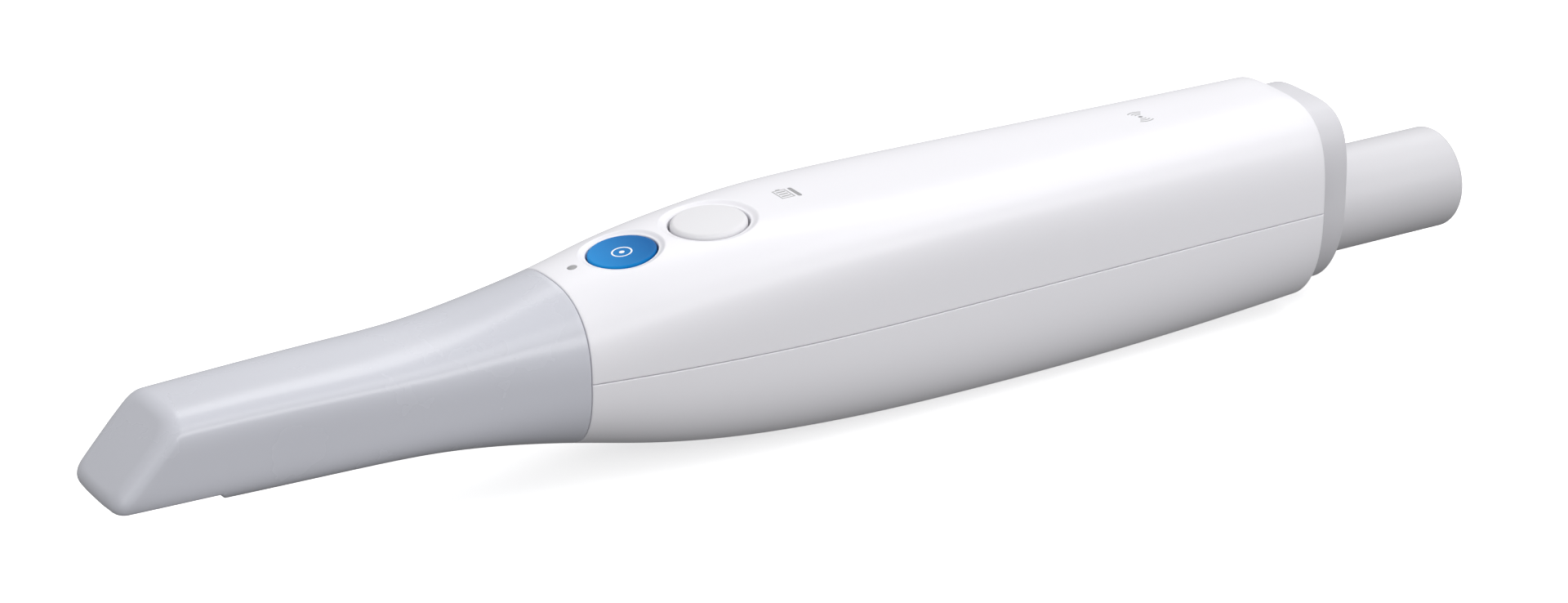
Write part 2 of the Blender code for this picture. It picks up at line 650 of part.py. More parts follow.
def button_board(parent):
    """The small board under both buttons; it lies along the line between their places."""
    (x0, x1) = (facts["x"] for facts in BUTTONS.values())
    z0, z1 = outline(x0)[1], outline(x1)[1]
    low = (-11.5, -7.2, BOARD_TOP - BOARD_THICK)
    high = (math.hypot(x1 - x0, z1 - z0) + 7.5, 7.2, BOARD_TOP)
    tilt = (0.0, -math.atan2(z1 - z0, x1 - x0), 0.0)
    where = {"location": (x0, 0, z0), "rotation": tilt}
    block("button_board", low, high, "board_green", parent, 0.2, **where)


def light_pipes(parent):
    """The clear pieces that bring the board's lights to the surface."""
    top = outline(STATUS_LIGHT_X)[1]
    status = ((10.7, 0.9), (top + 0.05, 0.9))
    turned("status_light_pipe", status, "light_window", parent, 16, "Z", location=(STATUS_LIGHT_X, 0, 0))
    (x, y), (half_x, half_y) = CHARGE_LIGHT, CHARGE_LIGHT_HALF
    low, high = (x - half_x, y - half_y, 8.2), (x + half_x, y + half_y, outline(x)[1])
    block("charge_light_pipe", low, high, "light_window", parent)
    link = ((10.7, 0.7), (outline(LINK_LIGHT[0])[1], 0.7))
    turned("link_light_pipe", link, "light_window", parent, 12, "Z", location=(*LINK_LIGHT, 0))


# ---------------------------------------------------------------- boards and leads
def boards(parent):
    """The main, power and radio boards with their larger components, and what holds them."""
    board_carrier(parent)
    x0, x1 = MAIN_BOARD_X
    z = MAIN_BOARD_Z
    main = block("main_board", (x0, -14, z), (x1, 14, z + 1.6), "board_green", parent, 0.3)
    holes = []
    for i, (x, y) in enumerate(BOARD_SCREWS):
        spot = {"location": (x, y, 0)}
        hole = ((z - 2, 1.35), (z + 4, 1.35))
        holes.append(turned(f"board_hole_{i + 1}", hole, "board_green", parent, 10, "Z", **spot))
        screw(f"board_screw_{i + 1}", (x, y, z + 1.6 + GAP), 6.0, parent)
    combine(main, "DIFFERENCE", holes)
    block("processor_chip", (176, -8, z + 1.9), (192, 8, z + 3.5), "chip_black", parent, 0.3)
    processor_heat_sink(parent, z + 3.8)
    block("power_board", (158, -12, -12.4), (209, 12, -11.0), "board_green", parent, 0.3)
    block("radio_board", (223, -10, 9.2), (251, 10, 10.4), "board_green", parent, 0.3)
    block("radio_shield", (237, -8, 10.7), (250, 8, 13.0), "steel", parent, 0.4)


def processor_heat_sink(parent, base_z):
    """A finned plate over the processor."""
    base = (171, -11, base_z), (197, 11, base_z + 1.4)
    made = block("processor_heat_sink", *base, "aluminium", parent)
    fins = []
    for i, y in enumerate(np.linspace(-10, 10, 6)):
        low, high = (172, y - 0.6, base_z + 1.0), (196, y + 0.6, base_z + 6.0)
        fins.append(block(f"processor_fin_{i + 1}", low, high, "aluminium", parent))
    combine(made, "UNION", fins)


def board_carrier(parent):
    """The moulded tray between the main and power boards, standing on two cross walls."""
    top = -1.0
    made = block("board_carrier", (148.5, -15.2, top - 2), (217.5, 15.2, top), "grey_plastic", parent)
    lumps, holes = [], []
    for i, x in enumerate((152.0, 213.0)):
        low, high = (x - 1, -12.5, -19.0), (x + 1, 12.5, top - 1)
        lumps.append(block(f"carrier_wall_{i + 1}", low, high, "grey_plastic", parent))
    for i, (x, y) in enumerate(BOARD_SCREWS):
        for j, side in enumerate((y, -y)):
            spot = {"location": (x, side, 0)}
            post = ((top - 1, 2.3), (MAIN_BOARD_Z - GAP, 2.3))
            name = f"carrier_post_{2 * i + j + 1}"
            lumps.append(turned(name, post, "grey_plastic", parent, 14, "Z", **spot))
        pilot = ((0.2, 1.3), (MAIN_BOARD_Z + 2, 1.3))
        spot = {"location": (x, y, 0)}
        holes.append(turned(f"post_pilot_{i + 1}", pilot, "grey_plastic", parent, 10, "Z", **spot))
    holes.append(block("carrier_window", (164, -9, top - 4), (202, 9, top + 2), "grey_plastic", parent))
    holes.append(block("lead_window", (211, -5, -14.5), (215, 5, -4.5), "grey_plastic", parent))
    combine(made, "UNION", lumps)
    combine(made, "DIFFERENCE", holes)


def flex_cables(parent):
    """Flat flex cables from the camera and the projector to their boards."""
    camera = ((140.0, 3.0), (141.4, 3.2), (143.6, 4.6), (145.6, 6.2), (148.0, 6.8), (150.6, 6.8))
    drawn("camera_ribbon", camera, 0.35, 5.0, "flex_amber", parent)
    projector = ((135.6, -14.8), (140.0, -14.8), (145.0, -14.0), (147.4, -12.6), (149.6, -11.8))
    drawn("projector_ribbon", projector, 0.35, 5.0, "flex_amber", parent)


def battery_lead(name, y, finish, parent):
    """An insulated lead from a contact pin back to the power board, along a smooth curve."""
    start, end = Vector((217.1, y, 0)), Vector((209.5, y, 0))
    start.z, end.z = BATTERY_Z + (y - 3.0), -11.7
    curve = bpy.data.curves.new(name, "CURVE")
    curve.dimensions = "3D"
    curve.bevel_depth = 0.55 * MM
    curve.bevel_resolution = 1
    curve.use_fill_caps = True
    path = curve.splines.new("POLY")
    steps = 8
    path.points.add(steps)
    for i in range(steps + 1):
        share = i / steps
        ease = share * share * (3 - 2 * share)
        here = start.lerp(end, share)
        here.z = start.z + (end.z - start.z) * ease
        path.points[i].co = (*(here * MM), 1.0)
    made = bpy.data.objects.new(name, curve)
    curve.materials.append(finish_of(finish))
    place(made, parent, (0, 0, 0), (0, 0, 0))


# ---------------------------------------------------------------- battery and its bay
def battery_bay(parent):
    """The sleeve that guides the battery, the block at its end and two spring contacts."""
    count = 36
    radius = BAY_RADIUS + 1.3
    sleeve = ((222.0, radius), (262.0, radius), (262.0, BAY_RADIUS), (222.0, BAY_RADIUS))
    on_axis = {"location": (0, 0, BATTERY_Z)}
    made = turned_ring("battery_sleeve", sleeve, "grey_plastic", parent, count, **on_axis)
    rests = []
    for i, y in enumerate((-7.0, 7.0)):
        low, high = (224, y - 1, 2.8), (250, y + 1, 9.2 - GAP)
        rests.append(block(f"radio_rest_{i + 1}", low, high, "grey_plastic", parent))
    combine(made, "UNION", rests)
    core = ((220, BAY_RADIUS), (265, BAY_RADIUS))
    combine(made, "DIFFERENCE", [turned("sleeve_core", core, "grey_plastic", parent, count, **on_axis)])

    disc = ((218.6, radius), (221.6, radius))
    plate = turned("contact_block", disc, "black_plastic", parent, count, **on_axis)
    holes = []
    for i, drop in enumerate((0.0, -6.5)):
        spot = {"location": (0, 0, BATTERY_Z + drop)}
        hole = ((216, 1.35), (224, 1.35))
        holes.append(turned(f"contact_hole_{i + 1}", hole, "black_plastic", parent, 12, **spot))
        pin = ((217.4, 0.0), (217.4, 1.0), (221.9, 1.0), (221.9, 0.7), (223.2, 0.7), (223.5, 0.0))
        name = ("contact_pin_positive", "contact_pin_negative")[i]
        turned(name, pin, "gold", parent, 12, **spot)
    combine(plate, "DIFFERENCE", holes)


def battery(parent):
    """The plug-in battery: a closed case with its cell, end plug and contacts. Its frame is on its axis."""
    count, r, x0 = 32, BATTERY_RADIUS, BATTERY_FRONT_X
    inner = CELL_RADIUS + 0.5
    case = [(x0, r - 0.4), (x0 + 0.4, r), (REAR_X - 1.8, r)]
    for turn in (30, 60, 90):
        angle = math.radians(turn)
        case.append((REAR_X - 1.8 + 1.8 * math.sin(angle), r - 1.8 * (1 - math.cos(angle))))
    case += [(REAR_X, 0.0)]
    hollow = [(REAR_X - 2.5, 0.0), (REAR_X - 2.5, inner), (x0, inner)]
    points_on_axis = case + hollow
    cup = turned_cup("battery_case", points_on_axis, "grey_collar", parent, count)
    cup.data.materials[0] = finish_of("white_shell")
    end = x0 + 6.6 + CELL_LENGTH
    cell = ((x0 + 6.6, 0.0), (x0 + 6.6, CELL_RADIUS - 0.4), (x0 + 7.0, CELL_RADIUS))
    cell += ((end - 0.4, CELL_RADIUS), (end, CELL_RADIUS - 0.4), (end, 0.0))
    turned("battery_cell", cell, "cell_wrap", parent, 32)
    plug = turned("battery_plug", ((x0 + 0.3, inner - GAP), (x0 + 3.8, inner - GAP)), "black_plastic", parent, 32)
    holes = []
    for i, drop in enumerate((0.0, -6.5)):
        spot = {"location": (0, 0, drop)}
        hole = ((x0 - 2, 2.1), (x0 + 6, 2.1))
        holes.append(turned(f"plug_hole_{i + 1}", hole, "black_plastic", parent, 14, **spot))
        pad = ((x0 - 0.2, 0.0), (x0 - 0.2, 1.75), (x0 + 3.2, 1.75), (x0 + 3.2, 0.0))
        name = ("battery_contact_positive", "battery_contact_negative")[i]
        turned(name, pad, "gold", parent, 14, **spot)
    combine(plug, "DIFFERENCE", holes)


def turned_cup(name, profile, finish, parent, count):
    """A turned cup: the profile runs along the outside to the closed end's point, then back inside."""
    points, rows, faces = [], [], []
    for along, radius in profile:
        steps = count if radius > 0 else 1
        rows.append(range(len(points), len(points) + steps))
        for i in range(steps):
            turn = 2 * math.pi * i / count
            points.append((along, radius * math.cos(turn), radius * math.sin(turn)))
    for a, b in zip(rows, rows[1:] + rows[:1]):
        if len(a) == len(b) == 1:
            continue
        for i in range(count):
            j = (i + 1) % count
            corners = (a[i % len(a)], a[j % len(a)], b[j % len(b)], b[i % len(b)])
            faces.append(tuple(dict.fromkeys(corners)))
    return solid(name, points, faces, finish, parent)


# ---------------------------------------------------------------- assembly
def build():
    """Builds every piece on its body's frame."""
    clear_scene()
    handpiece = empty("assembly", None, (-(FRONT_X + REAR_X) / 2, 0, BELLY_DEPTH))
    tip = empty("scan_tip_axis", handpiece, (0, 0, 0))
    pack = empty("battery_axis", handpiece, (0, 0, BATTERY_Z))
    frames = {}
    for name, facts in BUTTONS.items():
        x, tilt = facts["x"], (0.0, -math.radians(facts["tilt"]), 0.0)
        frames[name] = empty(f"{name}_button_place", handpiece, (x, 0, outline(x)[1]), tilt)
        body = empty(f"{name}_button_axis", frames[name])
        plunger = empty(f"{name}_plunger_axis", frames[name])
        button(name, facts["radius"], facts["top"], facts["finish"], body, plunger, frames[name])

    upper_shell(handpiece, frames)
    lower_shell(handpiece)
    rear_collar(handpiece)
    tip_shell(tip)
    tip_mirror(tip)
    optical_nose(handpiece)
    optics(handpiece)
    button_board(handpiece)
    light_pipes(handpiece)
    boards(handpiece)
    flex_cables(handpiece)
    battery_lead("positive_lead", 3.0, "red_wire", handpiece)
    battery_lead("negative_lead", -3.0, "black_plastic", handpiece)
    battery_bay(handpiece)
    battery(pack)


build()
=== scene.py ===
"""The finished look of a wireless intraoral camera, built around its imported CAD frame.

Shapes are worked out in millimetres in the part's design frame, where x runs from a datum just
behind the foremost point of the mirror tip to the battery, z is measured from the seam between the
two half shells and -y is the near side.
"""

import math

import bmesh
import bpy
import numpy as np
from mathutils import Matrix, Vector


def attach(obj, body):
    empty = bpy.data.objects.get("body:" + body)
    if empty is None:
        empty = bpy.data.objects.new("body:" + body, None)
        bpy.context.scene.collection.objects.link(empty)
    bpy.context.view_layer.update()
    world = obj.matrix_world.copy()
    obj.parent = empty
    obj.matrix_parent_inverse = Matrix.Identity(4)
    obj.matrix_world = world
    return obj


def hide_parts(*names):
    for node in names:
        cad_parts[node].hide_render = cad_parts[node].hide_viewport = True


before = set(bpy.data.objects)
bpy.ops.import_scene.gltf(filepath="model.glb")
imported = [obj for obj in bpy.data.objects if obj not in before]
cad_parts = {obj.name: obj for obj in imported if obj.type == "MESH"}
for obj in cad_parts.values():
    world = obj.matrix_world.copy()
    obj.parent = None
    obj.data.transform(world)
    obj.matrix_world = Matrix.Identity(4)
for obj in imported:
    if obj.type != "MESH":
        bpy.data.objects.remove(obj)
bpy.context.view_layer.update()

MM = 0.001
# The design frame's zero in the row frame, mm.
ZERO = np.array((-155.9, 0.0, 25.04))

# ---------------------------------------------------------------- the outside surface
# x, half width, height above the seam, depth below it, power above and below.
OUTLINE = np.array(
    (
        (0, 10.95, 8.85, 8.95, 4.6, 4.5),
        (30, 12.0, 9.8, 9.6, 4.6, 4.5),
        (50, 13.0, 10.15, 9.8, 4.4, 4.3),
        (65, 13.6, 10.85, 10.7, 3.8, 3.8),
        (80, 14.7, 13.1, 13.1, 3.1, 3.1),
        (95, 16.8, 16.3, 16.35, 2.55, 2.65),
        (110, 19.0, 18.9, 19.5, 2.9, 2.75),
        (125, 20.6, 20.5, 21.85, 3.3, 2.85),
        (140, 21.6, 21.5, 23.3, 3.7, 2.9),
        (160, 21.9, 21.7, 24.4, 4.2, 2.95),
        (185, 21.2, 21.6, 24.92, 4.4, 3.0),
        (210, 20.5, 21.7, 25.02, 4.1, 2.9),
        (240, 19.6, 21.9, 24.45, 3.7, 2.7),
        (268, 19.0, 22.2, 23.1, 3.3, 2.5),
    )
)
REAR_X = 312.4
JOINT_X = 95.0
SHELL_END_X = 268.0
COLLAR_END_X = 276.4
WALL = 2.0
TIP_WALL = 1.3
SEAM = 0.09
JOINT_GAP = 0.08
BATTERY_Z = -6.6
BATTERY_FRONT_X = 224.1
BATTERY_RADIUS = 10.95
# How far each contact stands above the battery's axis.
CONTACT_DROPS = {"positive": 0.0, "negative": -6.5}
BAY_RADIUS = 11.35
BUTTONS = {
    "scan": {"x": 110.95, "radius": 6.85, "gap": 0.35, "top": -0.6, "tilt": 8.0},
    "mode": {"x": 130.5, "radius": 7.7, "gap": 0.5, "top": -0.05, "tilt": 4.2},
}


def spline_bends():
    """The second derivatives at the knots of the natural cubic spline through each column."""
    xs, ys = OUTLINE[:, 0], OUTLINE[:, 1:]
    step = np.diff(xs)
    rise = np.diff(ys, axis=0) / step[:, None]
    rows, right = np.eye(len(xs)), np.zeros_like(ys)
    for i in range(1, len(xs) - 1):
        rows[i, i - 1 : i + 2] = step[i - 1], 2 * (step[i - 1] + step[i]), step[i]
        right[i] = 6 * (rise[i] - rise[i - 1])
    return np.linalg.solve(rows, right)


BENDS = spline_bends()


def outline(x):
    """Half width, height, depth, power above and power below at each x, one column per x."""
    x = np.clip(np.asarray(x, float), OUTLINE[0, 0], OUTLINE[-1, 0])
    xs, ys = OUTLINE[:, 0], OUTLINE[:, 1:]
    i = np.clip(np.searchsorted(xs, x) - 1, 0, len(xs) - 2)
    h = (xs[i + 1] - xs[i])[..., None]
    a, b = (xs[i + 1] - x)[..., None], (x - xs[i])[..., None]
    bend = (BENDS[i] * a**3 + BENDS[i + 1] * b**3) / (6 * h)
    line = (ys[i] / h - BENDS[i] * h / 6) * a + (ys[i + 1] / h - BENDS[i + 1] * h / 6) * b
    return np.moveaxis(bend + line, -1, 0)


def oval(turn, half_width, height, depth, above, below):
    """y and z at each turn of a section; turn 0 is the -y side and a quarter turn is the top."""
    c, s = np.cos(turn), np.sin(turn)
    power = np.where(s >= 0, above, below)
    reach = (np.abs(c) ** power + np.abs(s) ** power) ** (-1 / power)
    return -half_width * c * reach, np.where(s >= 0, height, depth) * s * reach


def turns(count):
    return np.arange(count) * 2 * math.pi / count


def section(x, count, side=0.0, top=None, bottom=None):
    """A ring round the outside, inset by these amounts; x is one place or one for each point."""
    half, height, depth, above, below = outline(np.broadcast_to(x, count))
    top = side if top is None else top
    bottom = side if bottom is None else bottom
    y, z = oval(turns(count), half - side, height - top, depth - bottom, above, below)
    return np.stack([np.broadcast_to(x, count), y, z], 1)


def leaning(x, lean, count, side=0.0, top=0.0, bottom=0.0):
    """A ring in the plane that leans back from x at the seam's height, inset by these amounts."""
    here = np.full(count, float(x))
    for _ in range(6):
        ring = section(here, count, side, top, bottom)
        here = x + lean * ring[:, 2]
    return section(here, count, side, top, bottom)


def eased(low, high, value):
    """0 at low, 1 at high and smooth between."""
    share = np.clip((value - low) / (high - low), 0, 1)
    return share * share * (3 - 2 * share)


def circle(x, radius, count, z=0.0):
    turn = turns(count)
    return np.stack([np.full(count, float(x)), -radius * np.cos(turn), z + radius * np.sin(turn)], 1)


# ---------------------------------------------------------------- making pieces
def skin(rings, tube=False):
    """Points and faces of a loft through rings; a tube's last ring joins its first."""
    rings = [np.asarray(ring, float) for ring in rings]
    count = len(rings[0])
    faces = []
    for r in range(len(rings) if tube else len(rings) - 1):
        a, b = r * count, (r + 1) % len(rings) * count
        faces += [(a + i, a + (i + 1) % count, b + (i + 1) % count, b + i) for i in range(count)]
    if not tube:
        faces += [tuple(range(count)), tuple(range((len(rings) - 1) * count, len(rings) * count))]
    return np.concatenate(rings), faces


def spun(profile, count=96, axis="X"):
    """Points and faces of a turned solid; the profile is (along, radius), closed at both ends."""
    points, rows, faces = [], [], []
    turn = turns(count)
    for along, radius in profile:
        steps = count if radius > 0 else 1
        rows.append(range(len(points), len(points) + steps))
        for t in turn[:steps]:
            across, up = radius * math.cos(t), radius * math.sin(t)
            points.append((along, across, up) if axis == "X" else (across, up, along))
    for a, b in zip(rows, rows[1:]):
        if len(a) == len(b) == 1:
            continue
        for i in range(count):
            j = (i + 1) % count
            corners = (a[i % len(a)], a[j % len(a)], b[j % len(b)], b[i % len(b)])
            faces.append(tuple(dict.fromkeys(corners)))
    faces += [tuple(row) for row in (rows[0], rows[-1]) if len(row) > 1]
    return np.array(points), faces


def spun_ring(profile, count=96, axis="X"):
    """Points and faces of a turned ring whose closed profile stays off the axis."""
    turn = turns(count)
    rings = []
    for along, radius in profile:
        across, up = radius * np.cos(turn), radius * np.sin(turn)
        flat = np.full(count, float(along))
        rings.append(np.stack([flat, across, up] if axis == "X" else [across, up, flat], 1))
    return skin(rings, tube=True)


def tilted(points, tilt, x, z):
    """The points turned up by this many degrees at the front and moved to (x, 0, z)."""
    c, s = math.cos(math.radians(tilt)), math.sin(math.radians(tilt))
    turn = np.array(((c, 0, s), (0, 1, 0), (-s, 0, c)))
    return np.asarray(points, float) @ turn + np.array((x, 0.0, z))


def mesh_object(name, points, faces, angle=35.0):
    """A linked object from design-frame points, with outward normals and smooth shading."""
    mesh = bpy.data.meshes.new(name)
    mesh.from_pydata([Vector(p) for p in (np.asarray(points) + ZERO) * MM], [], faces)
    work = bmesh.new()
    work.from_mesh(mesh)
    bmesh.ops.recalc_face_normals(work, faces=work.faces)
    work.to_mesh(mesh)
    work.free()
    mesh.shade_smooth()
    mesh.set_sharp_from_angle(angle=math.radians(angle))
    made = bpy.data.objects.new(name, mesh)
    bpy.context.scene.collection.objects.link(made)
    return made


def piece(name, shape, material, body, replaces=(), angle=35.0):
    """A finished piece that rides on its body and stands for CAD nodes."""
    made = mesh_object(name, *shape, angle)
    return finished(made, material, body, replaces)


def finished(made, material, body, replaces=()):
    made.data.materials.clear()
    made.data.materials.append(material)
    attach(made, body)
    if replaces:
        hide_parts(*replaces)
    return made


def cut(made, cutters, angle=35.0):
    """Cuts the cutters from the object for good, then removes them."""
    for cutter in cutters:
        step = made.modifiers.new(cutter.name, "BOOLEAN")
        step.operation = "DIFFERENCE"
        step.solver = "EXACT"
        step.object = cutter
    graph = bpy.context.evaluated_depsgraph_get()
    mesh = bpy.data.meshes.new_from_object(made.evaluated_get(graph))
    made.modifiers.clear()
    old, made.data = made.data, mesh
    mesh.name = made.name
    bpy.data.meshes.remove(old)
    mesh.shade_smooth()
    mesh.set_sharp_from_angle(angle=math.radians(angle))
    for cutter in cutters:
        bpy.data.objects.remove(cutter)
    return made


# ---------------------------------------------------------------- materials
def shader_of(name, colour, roughness, metallic=0.0, **values):
    """A new material with its own Principled values: (material, nodes, links, shader)."""
    made = bpy.data.materials.new(name)
    made.use_nodes = True
    nodes, links = made.node_tree.nodes, made.node_tree.links
    shader = nodes["Principled BSDF"]
    shader.inputs["Base Color"].default_value = (*colour, 1.0)
    shader.inputs["Roughness"].default_value = roughness
    shader.inputs["Metallic"].default_value = metallic
    for key, value in values.items():
        shader.inputs[key.replace("_", " ")].default_value = value
    return made, nodes, links, shader


def noise(nodes, links, scale, detail=2.0, stretch=None):
    """A noise texture in object space; its features are about 1/scale metres across."""
    place = nodes.new("ShaderNodeTexCoord")
    made = nodes.new("ShaderNodeTexNoise")
    made.inputs["Scale"].default_value = scale
    made.inputs["Detail"].default_value = detail
    if stretch:
        squeeze = nodes.new("ShaderNodeMapping")
        squeeze.inputs["Scale"].default_value = stretch
        links.new(place.outputs["Object"], squeeze.inputs["Vector"])
        links.new(squeeze.outputs["Vector"], made.inputs["Vector"])
    else:
        links.new(place.outputs["Object"], made.inputs["Vector"])
    return made


def spread(nodes, links, source, low, high, start=0.3, end=0.7):
    """The source from start to end stretched over low to high."""
    made = nodes.new("ShaderNodeMapRange")
    for key, value in (("From Min", start), ("From Max", end), ("To Min", low), ("To Max", high)):
        made.inputs[key].default_value = value
    links.new(source, made.inputs["Value"])
    return made.outputs["Result"]


def shaded(nodes, links, shader, factor, first, last):
    """Base colour from the first colour to the last by a factor."""
    mix = nodes.new("ShaderNodeMix")
    mix.data_type = "RGBA"
    mix.inputs["A"].default_value = (*first, 1.0)
    mix.inputs["B"].default_value = (*last, 1.0)
    links.new(factor, mix.inputs["Factor"])
    links.new(mix.outputs["Result"], shader.inputs["Base Color"])


def bumped(nodes, links, shader, height, distance):
    bump = nodes.new("ShaderNodeBump")
    bump.inputs["Distance"].default_value = distance
    bump.inputs["Strength"].default_value = 1.0
    links.new(height, bump.inputs["Height"])
    links.new(bump.outputs["Normal"], shader.inputs["Normal"])


def moulded(name, colour, roughness, grain=4500, depth=4e-6, vary=0.015, **values):
    """Injection-moulded plastic: a fine grain, a faint flow in its colour and an uneven gloss."""
    made, nodes, links, shader = shader_of(name, colour, roughness, **values)
    flow = noise(nodes, links, 18, 2, (0.3, 1.0, 1.0))
    fine = noise(nodes, links, grain, 3)
    dark = tuple(c * (1 - vary) for c in colour)
    light = tuple(min(1.0, c * (1 + vary)) for c in colour)
    shaded(nodes, links, shader, spread(nodes, links, flow.outputs["Fac"], 0, 1), dark, light)
    smear = noise(nodes, links, 60, 4)
    gloss = spread(nodes, links, smear.outputs["Fac"], roughness * 0.96, roughness * 1.04)
    links.new(gloss, shader.inputs["Roughness"])
    bumped(nodes, links, shader, fine.outputs["Fac"], depth)
    return made


def metal(name, colour, roughness, stretch=(1.0, 14.0, 14.0), grain=900, depth=3e-6):
    """Machined metal: fine lines along x in its gloss and height."""
    made, nodes, links, shader = shader_of(name, colour, roughness, 1.0)
    lines = noise(nodes, links, grain, 4, stretch)
    gloss = spread(nodes, links, lines.outputs["Fac"], roughness * 0.7, roughness * 1.35)
    links.new(gloss, shader.inputs["Roughness"])
    dark = tuple(c * 0.9 for c in colour)
    shaded(nodes, links, shader, spread(nodes, links, lines.outputs["Fac"], 0, 1), dark, colour)
    bumped(nodes, links, shader, lines.outputs["Fac"], depth)
    return made


def board(name):
    """A circuit board: green mask over copper tracks, with tinned pads."""
    made, nodes, links, shader = shader_of(name, (0.02, 0.16, 0.07), 0.35)
    place = nodes.new("ShaderNodeTexCoord")
    tracks = nodes.new("ShaderNodeTexBrick")
    tracks.inputs["Scale"].default_value = 260
    tracks.inputs["Mortar Size"].default_value = 0.035
    tracks.inputs["Color1"].default_value = (0.012, 0.13, 0.05, 1)
    tracks.inputs["Color2"].default_value = (0.018, 0.17, 0.07, 1)
    tracks.inputs["Mortar"].default_value = (0.04, 0.27, 0.11, 1)
    links.new(place.outputs["Object"], tracks.inputs["Vector"])
    pads = nodes.new("ShaderNodeTexVoronoi")
    pads.inputs["Scale"].default_value = 330
    pads.inputs["Randomness"].default_value = 0.35
    links.new(place.outputs["Object"], pads.inputs["Vector"])
    on_pad = spread(nodes, links, pads.outputs["Distance"], 1, 0, 0.14, 0.17)
    mix = nodes.new("ShaderNodeMix")
    mix.data_type = "RGBA"
    mix.inputs["B"].default_value = (0.62, 0.6, 0.52, 1)
    links.new(tracks.outputs["Color"], mix.inputs["A"])
    links.new(on_pad, mix.inputs["Factor"])
    links.new(mix.outputs["Result"], shader.inputs["Base Color"])
    links.new(spread(nodes, links, on_pad, 0.0, 0.9, 0, 1), shader.inputs["Metallic"])
    bumped(nodes, links, shader, tracks.outputs["Fac"], 2e-5)
    return made


def flex(name):
    """An amber flex cable with copper lines along it."""
    made, nodes, links, shader = shader_of(name, (0.5, 0.24, 0.05), 0.35)
    place = nodes.new("ShaderNodeTexCoord")
    lines = nodes.new("ShaderNodeTexWave")
    lines.bands_direction = "Y"
    lines.inputs["Scale"].default_value = 330
    links.new(place.outputs["Object"], lines.inputs["Vector"])
    factor = spread(nodes, links, lines.outputs["Fac"], 0, 1, 0.4, 0.6)
    shaded(nodes, links, shader, factor, (0.42, 0.17, 0.03), (0.66, 0.33, 0.1))
    bumped(nodes, links, shader, factor, 1.5e-5)
    return made


def optical_glass(name):
    """Clear glass with a faint blue coating."""
    coat = {"Coat_Weight": 0.3, "Coat_Tint": (0.6, 0.75, 1.0, 1.0)}
    made, nodes, links, shader = shader_of(
        name, (0.93, 0.97, 1.0), 0.02, Transmission_Weight=1.0, IOR=1.5, **coat
    )
    dust = noise(nodes, links, 700, 4)
    links.new(spread(nodes, links, dust.outputs["Fac"], 0.012, 0.04), shader.inputs["Roughness"])
    return made


def blue_cap_painted_sheen(name):
    """Blue plastic with a painted sheen: its base colour is lighter towards its front edge and darker
    towards the rear.
    """
    # Painted sheen: front is the lighter, lit end of the cap's colour and rear the darker, shaded end.
    front, rear = (0.012, 0.27, 0.68), (0.002, 0.105, 0.35)
    made, nodes, links, shader = shader_of(name, front, 0.3, Specular_IOR_Level=0.05)
    place = nodes.new("ShaderNodeTexCoord")
    split = nodes.new("ShaderNodeSeparateXYZ")
    links.new(place.outputs["Generated"], split.inputs["Vector"])
    along = spread(nodes, links, split.outputs["X"], 0, 1, 0.0, 1.0)
    # Painted sheen: the light-to-dark gradient along x stands in for light falling across the cap.
    shaded(nodes, links, shader, along, front, rear)
    fine = noise(nodes, links, 5200, 3)
    bumped(nodes, links, shader, fine.outputs["Fac"], 3e-6)
    return made


def all_materials():
    white = (0.86, 0.853, 0.893)
    return {
        "white": moulded("white_plastic", white, 0.36, Coat_Weight=0.12, Coat_Roughness=0.22),
        "button_white": moulded("white_button_plastic", (0.77, 0.765, 0.79), 0.45),
        "tip": moulded(
            "tip_plastic", (0.605, 0.615, 0.675), 0.27,
            grain=1700, depth=1.2e-6, vary=0.004, Coat_Weight=0.3, Coat_Roughness=0.2,
        ),
        "collar": moulded("collar_plastic", (0.66, 0.655, 0.69), 0.42),
        "battery": moulded("battery_plastic", (0.665, 0.66, 0.69), 0.38),
        "blue": blue_cap_painted_sheen("blue_plastic_painted_sheen"),
        "print": moulded("white_print", (0.9, 0.92, 0.95), 0.4),
        "light_grey_print": moulded("light_grey_print", (0.42, 0.42, 0.43), 0.5),
        "light": moulded("light_window", (0.36, 0.36, 0.37), 0.3, Transmission_Weight=0.1),
        "black": moulded("black_plastic", (0.022, 0.022, 0.025), 0.42, vary=0.08),
        "grey": moulded("grey_plastic", (0.16, 0.165, 0.175), 0.45, vary=0.05),
        "aluminium": metal("aluminium", (0.76, 0.77, 0.79), 0.32),
        "steel": metal("steel", (0.60, 0.60, 0.61), 0.28),
        "gold": metal("gold_plate", (0.86, 0.63, 0.26), 0.2, (4.0, 4.0, 4.0)),
        "glass": optical_glass("optical_glass"),
        "mirror": metal("mirror_coat", (0.93, 0.94, 0.96), 0.025, (1.0, 1.0, 1.0), 400, 2e-8),
        "board": board("circuit_board"),
        "chip": moulded("chip_package", (0.018, 0.018, 0.02), 0.5, vary=0.15, grain=3000),
        "flex": flex("flex_cable"),
        "silicone": moulded(
            "silicone", (0.50, 0.52, 0.55), 0.55, Subsurface_Weight=0.15, Subsurface_Scale=0.002
        ),
        "rubber": moulded("seal_rubber", (0.03, 0.03, 0.033), 0.6, vary=0.1, depth=1e-5),
        "cell": moulded("cell_wrap", (0.03, 0.21, 0.28), 0.3, vary=0.06),
        "red": moulded("red_insulation", (0.52, 0.02, 0.015), 0.4, vary=0.06),
    }


MAT = all_materials()


# ---------------------------------------------------------------- half shells
def button_frame(facts):
    """(x, z, cosine, sine) of a button's place on the top of the shell."""
    tilt = math.radians(facts["tilt"])
    return facts["x"], float(outline(facts["x"])[1]), math.cos(tilt), math.sin(tilt)


def shell_top(x, y):
    """Height of the upper shell at x and y."""
    half, height, _, above, _ = outline(x)
    share = np.clip(1 - (np.abs(y) / half) ** above, 0, None)
    return SEAM + (height - SEAM) * share ** (1 / above)


